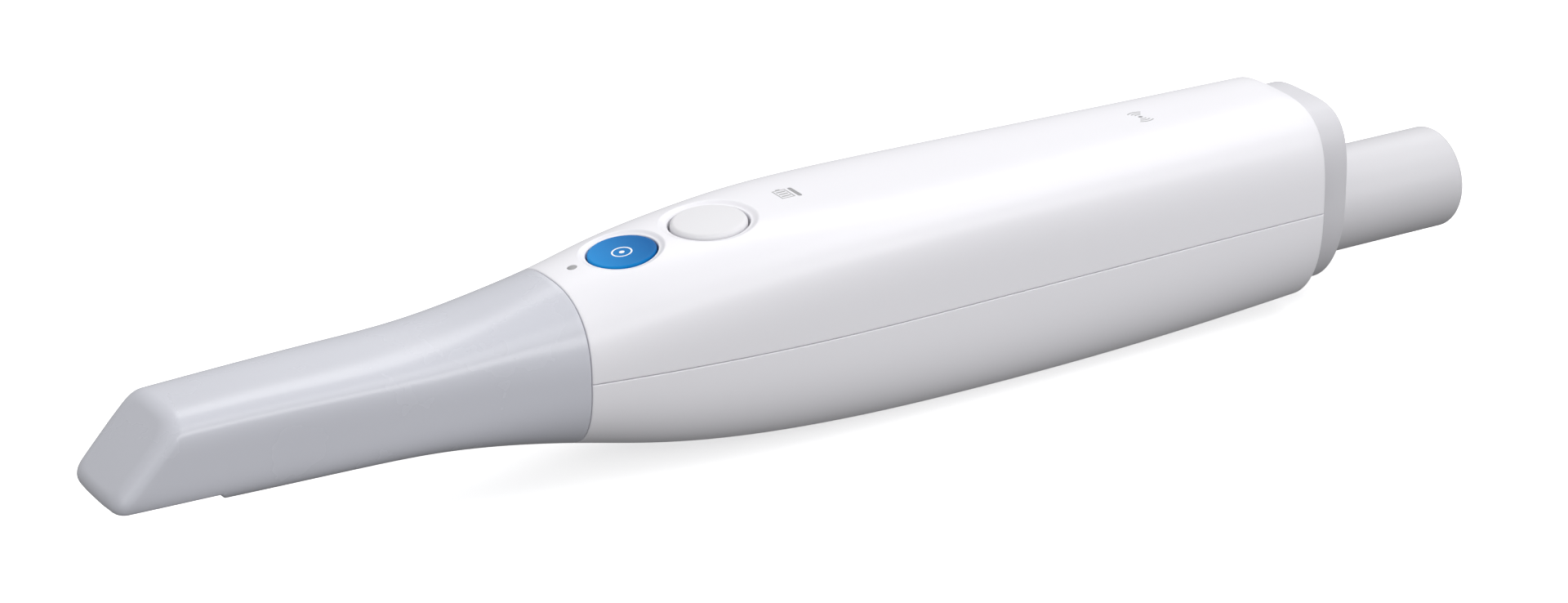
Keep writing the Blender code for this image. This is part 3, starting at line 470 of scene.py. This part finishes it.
def over_button(facts, u, v):
    """How far the shell's surface stands above the button's plane at (u, v) in that plane."""
    x0, z0, c, s = button_frame(facts)
    h = np.zeros_like(u)
    for _ in range(5):
        x, z = x0 + u * c - h * s, z0 + u * s + h * c
        h = h + (shell_top(x, v) - z) * c
    return h


# The radius and depth of each button's dish, and the rounding of the lip into its well.
DISH = {"scan": (8.75, 0.55), "mode": (10.1, 0.62)}
LIP = 0.28
WELL_DEPTH = 3.0
# The height of the lapped joint's step, and how far it stands in from the side, by upper or lower.
LAPS = {True: (1.15, 0.85), False: (-0.85, 1.0)}
SEAM_ROUND = 0.16
FRONT_ROUND = 0.22
REAR_ROUND = 0.7


def half_shell_ring(x, inset, upper, outer=150, inner=40):
    """One closed section of a half shell, with a lapped joint along the seam."""
    half, height, depth, above, below = outline(x)
    rise = height if upper else depth
    power = above if upper else below
    edge = [
        (half - inset - SEAM_ROUND * (1 - math.sin(t)), SEAM + SEAM_ROUND * (1 - math.cos(t)))
        for t in np.linspace(0, 1.35, 4)
    ]
    start = SEAM_ROUND / rise
    turn = np.linspace(start, math.pi - start, outer)
    y, z = oval(turn, half - inset, rise - inset - SEAM, 1.0, power, power)
    arc = np.stack([y, z + SEAM], 1)
    lap, step_in = LAPS[upper]
    ledge = half - step_in
    turn = np.linspace(0.03, math.pi - 0.03, inner)
    yi, zi = oval(turn, half - WALL, rise - WALL - SEAM, 1.0, power, power)
    inside = np.stack([yi, np.maximum(zi + SEAM, lap)], 1)[::-1]
    left = [(-ledge, lap), (-ledge, SEAM)] + [(-y, z) for y, z in edge]
    right = [(-y, z) for y, z in left[::-1]]
    ring = np.concatenate([left, arc, right, inside])
    side = 1 if upper else -1
    return np.stack([np.full(len(ring), float(x)), ring[:, 0], side * ring[:, 1]], 1)


def half_shell(upper):
    """Points and faces of a half shell before its holes are cut."""
    front, rear = JOINT_X + JOINT_GAP, SHELL_END_X
    bend = np.linspace(0, 1.4, 5)
    stations = [(front + FRONT_ROUND * (1 - math.cos(t)), FRONT_ROUND * (1 - math.sin(t))) for t in bend]
    stations += [(x, 0.0) for x in np.arange(95.6, 150, 0.8)]
    stations += [(x, 0.0) for x in np.arange(150, rear - 1.2, 2.4)]
    bend = np.linspace(1.4, 0, 6)
    stations += [(rear - REAR_ROUND * (1 - math.cos(t)), REAR_ROUND * (1 - math.sin(t))) for t in bend]
    return skin([half_shell_ring(x, inset, upper) for x, inset in stations])


def dish_ring(name, count=168):
    """The shallow dish round a button, with a rounded lip into its well."""
    facts = BUTTONS[name]
    outer, deep = DISH[name]
    well = facts["radius"] + facts["gap"]
    lip = well + LIP
    profile = [(outer + 0.05, 0.006)]
    for r in np.linspace(outer, lip, 12):
        share = (outer - r) / (outer - lip)
        profile.append((r, deep * (1 - math.cos(math.pi * min(share, 1))) / 2))
    bend = np.linspace(0.3, 1.57, 5)
    profile += [(well + LIP * (1 - math.sin(t)), deep + LIP * (1 - math.cos(t))) for t in bend]
    profile += [(well, deep + 1.6), (well, WELL_DEPTH), (well + 0.8, WELL_DEPTH), (outer + 0.05, 1.6)]
    turn = turns(count)
    rings = []
    for r, low in profile:
        u, v = r * np.cos(turn), r * np.sin(turn)
        rings.append(np.stack([u, v, over_button(facts, u, v) - low], 1))
    points, faces = skin(rings, tube=True)
    x0, z0, _, _ = button_frame(facts)
    return tilted(points, facts["tilt"], x0, z0), faces


def hole_cutter(name, facts, radius, count=168):
    x0, z0, _, _ = button_frame(facts)
    points, faces = spun(((-6, radius), (4, radius)), count, "Z")
    return mesh_object(name, tilted(points, facts["tilt"], x0, z0), faces)


def shells():
    made = mesh_object("upper_casing", *half_shell(True))
    cutters = [hole_cutter(f"{name}_cutter", facts, DISH[name][0]) for name, facts in BUTTONS.items()]
    for x, y, radius in LIGHT_HOLES:
        points, faces = spun(((12, radius), (26, radius)), 40, "Z")
        cutters.append(mesh_object("light_cutter", points + np.array((x, y, 0)), faces))
    points, faces = slot_shape(CHARGE_BAR, 0.06, 12, 26)
    cutters.append(mesh_object("bar_cutter", points, faces))
    finished(cut(made, cutters), MAT["white"], "handpiece", ["upper_shell"])
    for name in BUTTONS:
        piece(f"{name}_button_dish", dish_ring(name), MAT["white"], "handpiece")
    piece("lower_casing", half_shell(False), MAT["white"], "handpiece", ["lower_shell"])


# ---------------------------------------------------------------- buttons, lights and printed signs
CHARGE_BAR = {"x": 151.5, "y": 2.15, "half_x": 0.38, "half_y": 2.4}
# x, y and radius of the status light's hole and of the radio link light's.
LIGHT_HOLES = ((100.1, 0.0, 0.98), (234.05, 0.65, 0.5))
BATTERY_SIGN = {"x": 148.95, "y": 2.2, "half_x": 1.5, "half_y": 2.15, "line": 0.24}
WAVE_RADII = (1.2, 2.0, 2.8)
WAVE_LINE = 0.3
PRINT_LIFT = 0.03
PRINT_SINK = 0.25


def slot_shape(bar, grow, low, high, count=10):
    """A bar with round ends that runs along y, from low to high."""
    radius, reach = bar["half_x"] + grow, bar["half_y"] - bar["half_x"]
    edge = []
    for side in (1, -1):
        for t in np.linspace(0, math.pi, count):
            along, across = radius * math.cos(t), reach + radius * math.sin(t)
            edge.append((bar["x"] + side * along, bar["y"] + side * across))
    rings = [[(x, y, z) for x, y in edge] for z in (low, high)]
    return skin(rings)


def fitted(edge_in, edge_out):
    """A thin closed strip between two matching outlines in plan, laid on the top of the shell."""
    edge_in, edge_out = np.asarray(edge_in, float), np.asarray(edge_out, float)
    rings = []
    corners = (edge_in, PRINT_LIFT), (edge_out, PRINT_LIFT), (edge_out, -PRINT_SINK), (edge_in, -PRINT_SINK)
    for edge, rise in corners:
        rings.append(np.stack([edge[:, 0], edge[:, 1], shell_top(edge[:, 0], edge[:, 1]) + rise], 1))
    return skin(rings, tube=True)


def fitted_patch(edge, lift=PRINT_LIFT, sink=PRINT_SINK):
    """A thin closed patch laid on the top of the shell."""
    x, y = np.asarray(edge, float).T
    return skin([np.stack([x, y, shell_top(x, y) + rise], 1) for rise in (-sink, lift)])


def box_edge(x, y, half_x, half_y, steps=8):
    """The outline of a rectangle, with points along its sides."""
    side = np.linspace(-1, 1, steps, endpoint=False)
    edge = [(x + half_x * t, y - half_y) for t in side] + [(x + half_x, y + half_y * t) for t in side]
    edge += [(x - half_x * t, y + half_y) for t in side] + [(x - half_x, y - half_y * t) for t in side]
    return edge


def signs():
    """A battery sign beside its light bar, and waves round the radio light."""
    x, y, hx, hy, line = BATTERY_SIGN.values()
    frame_shape = fitted(box_edge(x, y, hx - line, hy - line), box_edge(x, y, hx, hy))
    piece("battery_sign_frame", frame_shape, MAT["light_grey_print"], "handpiece")
    for i in range(3):
        shape = fitted_patch(box_edge(x, y - 1.1 + 1.1 * i, hx - 0.5, 0.24))
        piece(f"battery_sign_bar_{i + 1}", shape, MAT["light_grey_print"], "handpiece")
    shape = fitted_patch(box_edge(x, y + hy + 0.22, 0.5, 0.2))
    piece("battery_sign_cap", shape, MAT["light_grey_print"], "handpiece")
    x, y = LIGHT_HOLES[1][:2]
    for i, radius in enumerate(WAVE_RADII):
        for j, side in enumerate((1, -1)):
            arc = [math.pi / 2 * side + t for t in np.linspace(-0.62, 0.62, 14)]
            ends = [(radius - WAVE_LINE / 2, arc), (radius + WAVE_LINE / 2, arc[::-1])]
            edge = [(x + r * math.cos(t), y + r * math.sin(t)) for r, run in ends for t in run]
            shape = fitted_patch(edge)
            piece(f"radio_sign_wave_{2 * i + j + 1}", shape, MAT["light_grey_print"], "handpiece")


def lights():
    """The windows of the three lights, flush with the shell."""
    for name, (x, y, radius) in zip(("status", "link"), LIGHT_HOLES):
        turn = turns(40)
        inner = radius - 0.06
        profile = (inner, -6.0), (inner, -0.08), (inner - 0.08, -0.01), (inner * 0.5, 0.01), (0.04, 0.015)
        rings = []
        for r, rise in profile:
            px, py = x + r * np.cos(turn), y + r * np.sin(turn)
            rings.append(np.stack([px, py, shell_top(px, py) + rise], 1))
        node = f"{name}_light_pipe"
        piece(f"{name}_light_window", skin(rings), MAT["light"], "handpiece", [node])
    edge = slot_shape(CHARGE_BAR, -0.02, 0, 1)[0][:20, :2]
    shape = fitted_patch(edge, 0.0, 8.0)
    piece("charge_light_window", shape, MAT["light"], "handpiece", ["charge_light_pipe"])


# The rise of each cap's middle above its rim, the rounding of its edge, its finish and its slot.
CAPS = {
    "scan": (-0.28, 0.3, "blue", "blue_button"),
    "mode": (0.16, 0.95, "button_white", "white_shell"),
}
BRIM = 1.1
BRIM_TOP, BRIM_FOOT = -3.3, -4.2
STEM_RADIUS, STEM_FOOT = 1.5, -4.5


def cap_profile(facts, crown, edge):
    """Half profile of a button cap, with the brim that holds it in and the stem under it."""
    top, radius = facts["top"], facts["radius"]
    flat = radius - edge
    profile = [(top + crown, 0.0)]
    profile += [(top + crown * (1 - (r / flat) ** 2), r) for r in np.linspace(0, flat, 14)[1:]]
    for t in np.linspace(0.15, math.pi / 2, 8):
        profile.append((top - edge * (1 - math.cos(t)), flat + edge * math.sin(t)))
    profile += [(BRIM_TOP, radius), (BRIM_TOP, radius + BRIM), (BRIM_FOOT, radius + BRIM)]
    profile += [(BRIM_FOOT, STEM_RADIUS), (STEM_FOOT, STEM_RADIUS), (STEM_FOOT, 0.0)]
    return profile


def button_caps():
    for name, (crown, edge, key, slot) in CAPS.items():
        facts = BUTTONS[name]
        x0, z0, _, _ = button_frame(facts)
        points, faces = spun(cap_profile(facts, crown, edge), 144, "Z")
        shape = tilted(points, facts["tilt"], x0, z0), faces
        piece(f"{name}_cap", shape, MAT[key], f"{name}_button", [f"{name}_button_cap"])
    scan_mark()


def scan_mark():
    """A plain ring and dot printed in the hollow of the blue cap."""
    facts = BUTTONS["scan"]
    x0, z0, _, _ = button_frame(facts)
    crown, edge = CAPS["scan"][:2]
    flat = facts["radius"] - edge
    lift, sink = 0.02, 0.15

    def height(r):
        return facts["top"] + crown * (1 - (r / flat) ** 2)

    for name, low, high in (("ring", 1.75, 2.1), ("dot", 0.0, 0.55)):
        profile = [(height(high) - sink, high), (height(high) + lift, high)]
        profile += [(height(low) + lift, low), (height(low) - sink, low)]
        make = spun_ring if low else spun
        points, faces = make(profile, 72, "Z")
        shape = tilted(points, facts["tilt"], x0, z0), faces
        piece(f"scan_mark_{name}", shape, MAT["print"], "scan_button")


# ---------------------------------------------------------------- mirror tip
FACE_X = 3.62
FACE_LEAN = 0.93
SIDE_RADIUS = 3.8
TOP_RADIUS = 4.3
BOTTOM_RADIUS = 3.2
RIM_Z = -7.1
STEP_X = 20.3
STEP_SLOPE = 1.38
# Where the hollow ends, and how far its floor stands in from the outside there and over the rim.
SEAT_X = 5.9
SEAT_FLOOR_INSET = 4.0
RIM_FLOOR_INSET = 3.8
MOUTH_X = (4.2, 18.6)
MOUTH_HALF_WIDTH = 8.2
MOUTH_TOP = -4.9
MOUTH_RADIUS = 1.8
MOUTH_FLARE = 0.35


def rolled_edge(count, steps):
    """Rings that turn from the leaning face to the outside, along arcs with their own radii."""
    tilt = math.atan(FACE_LEAN)
    half_angles = np.array((math.pi / 4, (math.pi / 2 + tilt) / 2, (math.pi / 2 - tilt) / 2))
    reaches = np.array((SIDE_RADIUS, TOP_RADIUS, BOTTOM_RADIUS)) / np.tan(half_angles)
    rise = np.sin(turns(count))
    top, bottom = eased(0.45, 0.9, rise), eased(0.45, 0.9, -rise)
    shares = np.stack([1 - top - bottom, top, bottom], 1)
    corner = leaning(FACE_X, FACE_LEAN, count)
    on_face = leaning(FACE_X, FACE_LEAN, count, *(reaches * (1, math.cos(tilt), math.cos(tilt))))
    on_side = section(corner[:, 0] + shares @ reaches, count)
    pull = shares @ np.sin(half_angles)
    rings = []
    for t in np.linspace(0, 1, steps + 1):
        weights = (1 - t) ** 2, (2 * t * (1 - t) * pull)[:, None], t * t
        rings.append(sum(w * p for w, p in zip(weights, (on_face, corner, on_side))) / sum(weights))
    return rings


def stepped(ring, soft=0.16):
    """The ring with its underside held at the rim of the mouth, up to the step behind it."""
    ring = np.array(ring)
    rim = RIM_Z - STEP_SLOPE * np.clip(ring[:, 0] - STEP_X, 0, None)
    ring[:, 2] = rim + soft * np.logaddexp(0, (ring[:, 2] - rim) / soft)
    return ring


def tip():
    """The slip-on tip with its leaning face, its hollow inside and the mouth underneath."""
    count = 240
    rings = rolled_edge(count, 16)
    edge, back = rings[-1][:, 0], STEP_X - 1.0
    rings += [section(edge + (back - edge) * share, count) for share in np.linspace(0.1, 1, 10)]
    rings += [section(x, count) for x in np.arange(back + 0.15, STEP_X + 3.5, 0.15)]
    rings = [stepped(ring) for ring in rings]
    end = JOINT_X - JOINT_GAP
    rings += [section(x, count) for x in np.arange(25, end - 0.8, 1.6)]
    lip = 0.25
    rings += [
        section(end - lip * (1 - math.sin(t)), count, lip * (1 - math.cos(t)))
        for t in np.linspace(0, math.pi / 2, 6)
    ]
    rings.append(section(end, count, TIP_WALL))
    thin_x, thick_x = STEP_X + 10, STEP_X + 2
    for x in (*np.arange(92, thin_x, -4.0), thin_x, thick_x):
        floor = float(np.interp(x, (thick_x, thin_x), (RIM_FLOOR_INSET, TIP_WALL)))
        rings.append(section(x, count, TIP_WALL, TIP_WALL, floor))
    rings.append(leaning(SEAT_X, 1.0, count, TIP_WALL, TIP_WALL, SEAT_FLOOR_INSET))
    made = mesh_object("tip_sleeve", *skin(rings), angle=50)
    cut(made, [mesh_object("mouth_cutter", *mouth_cutter())], 50)
    finished(made, MAT["tip"], "scan_tip", ["tip_shell"])


def mouth_cutter(steps=7):
    """A rounded rectangle that widens at the rim."""
    reach = (MOUTH_X[1] - MOUTH_X[0]) / 2 - MOUTH_RADIUS, MOUTH_HALF_WIDTH - MOUTH_RADIUS
    middle = (MOUTH_X[0] + MOUTH_X[1]) / 2

    def ring(z, grow):
        edge = []
        for corner, (sx, sy) in enumerate(((1, 1), (-1, 1), (-1, -1), (1, -1))):
            for t in np.linspace(0, math.pi / 2, steps) + corner * math.pi / 2:
                x = middle + sx * reach[0] + (MOUTH_RADIUS + grow) * math.cos(t)
                edge.append((x, sy * reach[1] + (MOUTH_RADIUS + grow) * math.sin(t), z))
        return edge

    wide, narrow = ring(RIM_Z + 0.05, MOUTH_FLARE), ring(RIM_Z + 0.4, 0.0)
    return skin([ring(-14, MOUTH_FLARE), wide, narrow, ring(MOUTH_TOP, 0.0)])


# ---------------------------------------------------------------- nose, collar, battery
def nose():
    """The fixed nose inside the tip, its window and its seal."""
    count = 128
    slim = TIP_WALL + 0.6

    def outer(x, deeper=0.0):
        return section(x, count, slim + deeper)

    def inner(x):
        return section(x, count, slim + float(np.interp(x, (60, 88), (1.4, 3.2))))

    rings = [section(33.0, count, slim + 0.5), section(33.15, count, slim + 0.15), outer(33.6)]
    rings += [outer(x) for x in np.arange(36, 88.5, 2.5)]
    rings += [outer(89), outer(89, 1.2), outer(91.4, 1.2), outer(91.4), outer(93.0)]
    rings += [section(x, count, WALL + 0.9) for x in (94.0, 98.4)]
    rings += [circle(98.4, 6.25, count), circle(95.7, 6.25, count)]
    rings += [inner(x) for x in (95.7, 88, 80, 70, 60, 50, 40)] + [section(33.0, count, slim + 1.4)]
    piece("nose_sleeve", skin(rings, True), MAT["black"], "handpiece", ["optical_nose"])
    bevels = (33.3, 0.25), (33.45, 0.02), (34.6, 0.02), (34.75, 0.25)
    window = [section(x, count, slim + 1.42 + bevel) for x, bevel in bevels]
    piece("nose_glass", skin(window), MAT["glass"], "handpiece", ["nose_window"])
    ring = []
    for t in np.linspace(0, 2 * math.pi, 12, endpoint=False):
        ring.append(outer(90.2 + 0.85 * math.cos(t), 0.32 - 0.56 * math.sin(t)))
    piece("tip_seal", skin(ring, True), MAT["rubber"], "handpiece", ["tip_seal_ring"])


def collar():
    """The grey collar with a rounded rear edge and the battery's bore."""
    count = 160
    turn = turns(count)
    half_width, height, depth, above, below = 15.6, 19.9, 21.6, 3.6, 2.2

    def band(x, inset):
        y, z = oval(turn, half_width - inset, height - inset, depth - inset, above, below)
        return np.stack([np.full(count, float(x)), y, z], 1)

    def bore(x, radius=BAY_RADIUS):
        return circle(x, radius, count, BATTERY_Z)

    end, spigot_x, step_x, spigot = COLLAR_END_X, 262.5, SHELL_END_X - 0.3, WALL + 0.9
    rings = [section(spigot_x, count, spigot), section(step_x, count, spigot)]
    rings += [band(step_x, 0.0), band(272, 0.0)]
    edge, lip, groove = 0.9, 0.35, 12.35
    rings += [band(end - edge * (1 - math.sin(t)), edge * (1 - math.cos(t))) for t in np.linspace(0, 1.5, 8)]
    rings += [
        bore(end - lip * (1 - math.cos(t)), BAY_RADIUS + lip * (1 - math.sin(t)))
        for t in np.linspace(0, 1.57, 5)
    ]
    rings += [bore(274), bore(274, groove), bore(272, groove), bore(272), bore(spigot_x)]
    piece("rear_ring", skin(rings, True), MAT["collar"], "handpiece", ["rear_collar"])
    seal = [(273 + 0.68 * math.cos(t), 11.72 + 0.5 * math.sin(t)) for t in turns(14)]
    points, faces = spun_ring(seal, 120)
    points[:, 2] += BATTERY_Z
    piece("battery_seal_ring", (points, faces), MAT["rubber"], "handpiece", ["battery_seal"])


def on_battery_axis(shape, drop=0.0):
    points, faces = shape
    return np.asarray(points) + np.array((0, 0, BATTERY_Z + drop)), faces


def battery_body():
    """The battery's case: a tube with an open front and a closed, rounded rear end."""
    r, x0, edge, inner, count = BATTERY_RADIUS, BATTERY_FRONT_X, 1.8, 9.65, 144
    case = [(x0, r - 0.5), (x0 + 0.15, r - 0.15), (x0 + 0.5, r), (262, r), (300, r)]
    case += [
        (REAR_X - edge * (1 - math.sin(t)), r - edge * (1 - math.cos(t)))
        for t in np.linspace(0, 1.57, 12)
    ]
    case += [(REAR_X, 6.0), (REAR_X, 0.0), (REAR_X - 2.5, 0.0), (REAR_X - 2.5, inner), (x0, inner)]
    points, faces = on_battery_axis(spun(case, count))
    # The caps over the front's two rings give way to one flat ring between them.
    faces = [face for face in faces if len(face) < count]
    last = len(points) - count
    faces += [(last + i, last + (i + 1) % count, (i + 1) % count, i) for i in range(count)]
    piece("battery_body", (points, faces), MAT["battery"], "battery", ["battery_case"])


def battery_cutters(name, profile, count):
    """One turned cutter for each of the battery's contacts."""
    shapes = [on_battery_axis(spun(profile, count), drop) for drop in CONTACT_DROPS.values()]
    return [mesh_object(name, *shape) for shape in shapes]


def battery():
    """The plug-in battery, and the contacts that receive it."""
    battery_body()
    x0 = BATTERY_FRONT_X
    plug = (x0 + 0.3, 9.2), (x0 + 0.45, 9.35), (x0 + 3.8, 9.35)
    made = mesh_object("battery_end_plug", *on_battery_axis(spun(plug, 120)))
    cut(made, battery_cutters("pad_cutter", ((x0 - 2, 1.85), (x0 + 6, 1.85)), 48))
    finished(made, MAT["black"], "battery", ["battery_plug"])

    pad = (x0 + 0.1, 0.0), (x0 + 0.1, 1.45), (x0 + 0.25, 1.7), (x0 + 3.2, 1.7), (x0 + 3.2, 0.0)
    pin = (217.4, 0.0), (217.4, 1.0), (221.9, 1.0), (222.0, 0.7), (223.2, 0.7), (223.42, 0.5), (223.5, 0.0)
    for sign, drop in CONTACT_DROPS.items():
        shape = on_battery_axis(spun(pad, 48), drop)
        piece(f"battery_pad_{sign}", shape, MAT["gold"], "battery", [f"battery_contact_{sign}"])
        shape = on_battery_axis(spun(pin, 40), drop)
        piece(f"spring_pin_{sign}", shape, MAT["gold"], "handpiece", [f"contact_pin_{sign}"])

    block = (218.6, 12.65), (221.6, 12.65)
    made = mesh_object("bay_end_block", *on_battery_axis(spun(block, 120)))
    cut(made, battery_cutters("pin_cutter", ((216, 1.2), (224, 1.2)), 40))
    finished(made, MAT["black"], "handpiece", ["contact_block"])


# ---------------------------------------------------------------- optics seen through the nose
def lens_profile(x, thick, bulge, radius, steps=12):
    arc = [(bulge * (1 - (r / radius) ** 2), r) for r in np.linspace(0, radius, steps)]
    return [(x - rise, r) for rise, r in arc] + [(x + thick + rise, r) for rise, r in reversed(arc)]


def optics():
    for name, x, bulge in (("front_lens", 99.2, 1.1), ("rear_lens", 111.2, 1.2)):
        shape = spun(lens_profile(x, 1.4, bulge, 4.7), 72)
        piece(f"{name}_glass", shape, MAT["glass"], "handpiece", [name])
    barrel = ((96.9, 5.7), (97.1, 5.9), (118.4, 5.9), (118.4, 5.05), (97.3, 5.05), (96.9, 5.35))
    shape = spun_ring(barrel, 96)
    piece("optics_barrel", shape, MAT["black"], "handpiece", ["lens_barrel"])


# ---------------------------------------------------------------- CAD nodes that keep their shape
# The CAD nodes that keep their shape, under the finish that each one gets.
KEPT = {
    "mirror": ("tip_mirror",),
    "black": ("lens_spacer", "scan_switch_plunger", "mode_switch_plunger", "negative_lead"),
    "glass": ("beam_splitter", "projector_lens"),
    "aluminium": ("optics_chassis", "projector_heat_sink", "processor_heat_sink"),
    "board": (
        "camera_board", "projector_board", "button_board", "main_board", "power_board",
        "radio_board",
    ),
    "chip": ("image_sensor", "projector_chip", "processor_chip"),
    "steel": (
        "scan_switch", "mode_switch", "radio_shield", "board_screw_1", "board_screw_2",
        "chassis_screw_1", "chassis_screw_2", "chassis_screw_3", "chassis_screw_4",
    ),
    "silicone": ("scan_button_dome", "mode_button_dome"),
    "grey": ("board_carrier", "battery_sleeve"),
    "flex": ("camera_ribbon", "projector_ribbon"),
    "red": ("positive_lead",),
    "cell": ("battery_cell",),
}


def refinish():
    for key, names in KEPT.items():
        for node in (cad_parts[name] for name in names):
            for slot in node.material_slots:
                slot.material = MAT[key]
            node.data.shade_smooth()
            node.data.set_sharp_from_angle(angle=math.radians(32))


# ---------------------------------------------------------------- stage, light and camera
# Each softbox: its place, its width and height, all in metres, and its watts.
SOFTBOXES = {
    "key": ((0.5, -0.5, 1.1), (1.3, 0.6), 3.4),
    "near_strip": ((0.35, -1.28, 0.66), (1.5, 0.42), 6.2),
    "far_box": ((0.6, 0.66, 0.9), (1.0, 0.6), 3.2),
    "left_fill": ((-1.3, -0.6, 0.5), (0.8, 0.8), 1.2),
}
LIT_POINT = Vector((0, 0, 0.02))
# The camera that matches the photo: azimuth and elevation in degrees, and mm to the right of,
# above and back from a point on the seam.
CAMERA_AZIMUTH, CAMERA_ELEVATION = -31.17, 23.02
CAMERA_TARGET = (156.0, 0.0, 0.0)
CAMERA_RIGHT, CAMERA_UP, CAMERA_BACK = -7.06, -1.95, 898.3


def stage():
    """A plain pale floor that the object's own shading doesn't see, under a sky that is dim below."""
    bpy.ops.mesh.primitive_plane_add(size=60, location=(0, 0, 0))
    floor = bpy.context.object
    floor.name = "floor"
    made, _, _, shader = shader_of("floor_white", (0.93, 0.93, 0.935), 0.9)
    shader.inputs["Emission Color"].default_value = (1, 1, 1, 1)
    shader.inputs["Emission Strength"].default_value = 0.55
    floor.data.materials.append(made)
    floor.visible_diffuse = False
    floor.visible_glossy = False

    world = bpy.data.worlds.new("sky")
    bpy.context.scene.world = world
    world.use_nodes = True
    nodes, links = world.node_tree.nodes, world.node_tree.links
    place = nodes.new("ShaderNodeTexCoord")
    split = nodes.new("ShaderNodeSeparateXYZ")
    links.new(place.outputs["Generated"], split.inputs["Vector"])
    level = spread(nodes, links, split.outputs["Z"], 0.1, 0.84, -0.85, 1)
    links.new(level, nodes["Background"].inputs["Strength"])
    nodes["Background"].inputs["Color"].default_value = (1.0, 1.0, 1.0, 1.0)


def lighting():
    for name, (where, size, power) in SOFTBOXES.items():
        light = bpy.data.lights.new(name, "AREA")
        light.shape = "RECTANGLE"
        light.size, light.size_y = size
        light.energy = power
        made = bpy.data.objects.new(name, light)
        bpy.context.scene.collection.objects.link(made)
        made.location = where
        made.rotation_euler = (Vector(where) - LIT_POINT).to_track_quat("Z", "Y").to_euler()


def camera():
    """The camera at the photo's angle."""
    az, el = math.radians(CAMERA_AZIMUTH), math.radians(CAMERA_ELEVATION)
    back = Vector((math.sin(az) * math.cos(el), -math.cos(az) * math.cos(el), math.sin(el)))
    right = Vector((math.cos(az), math.sin(az), 0))
    up = Vector((-math.sin(el) * math.sin(az), math.sin(el) * math.cos(az), math.cos(el)))
    place = Vector(CAMERA_TARGET) + Vector(ZERO)
    place += CAMERA_RIGHT * right + CAMERA_UP * up + CAMERA_BACK * back
    lens = bpy.data.cameras.new("camera")
    lens.sensor_width = 36.0
    lens.lens = 103.25
    lens.clip_start, lens.clip_end = 0.01, 100
    made = bpy.data.objects.new("camera", lens)
    bpy.context.scene.collection.objects.link(made)
    turn = Matrix((right, up, back)).transposed().to_4x4()
    made.matrix_world = Matrix.Translation(place * MM) @ turn
    bpy.context.scene.camera = made


def main():
    camera()
    shells()
    lights()
    signs()
    button_caps()
    tip()
    nose()
    collar()
    battery()
    optics()
    refinish()
    stage()
    lighting()
    bpy.context.scene.view_settings.view_transform = "Standard"


main()
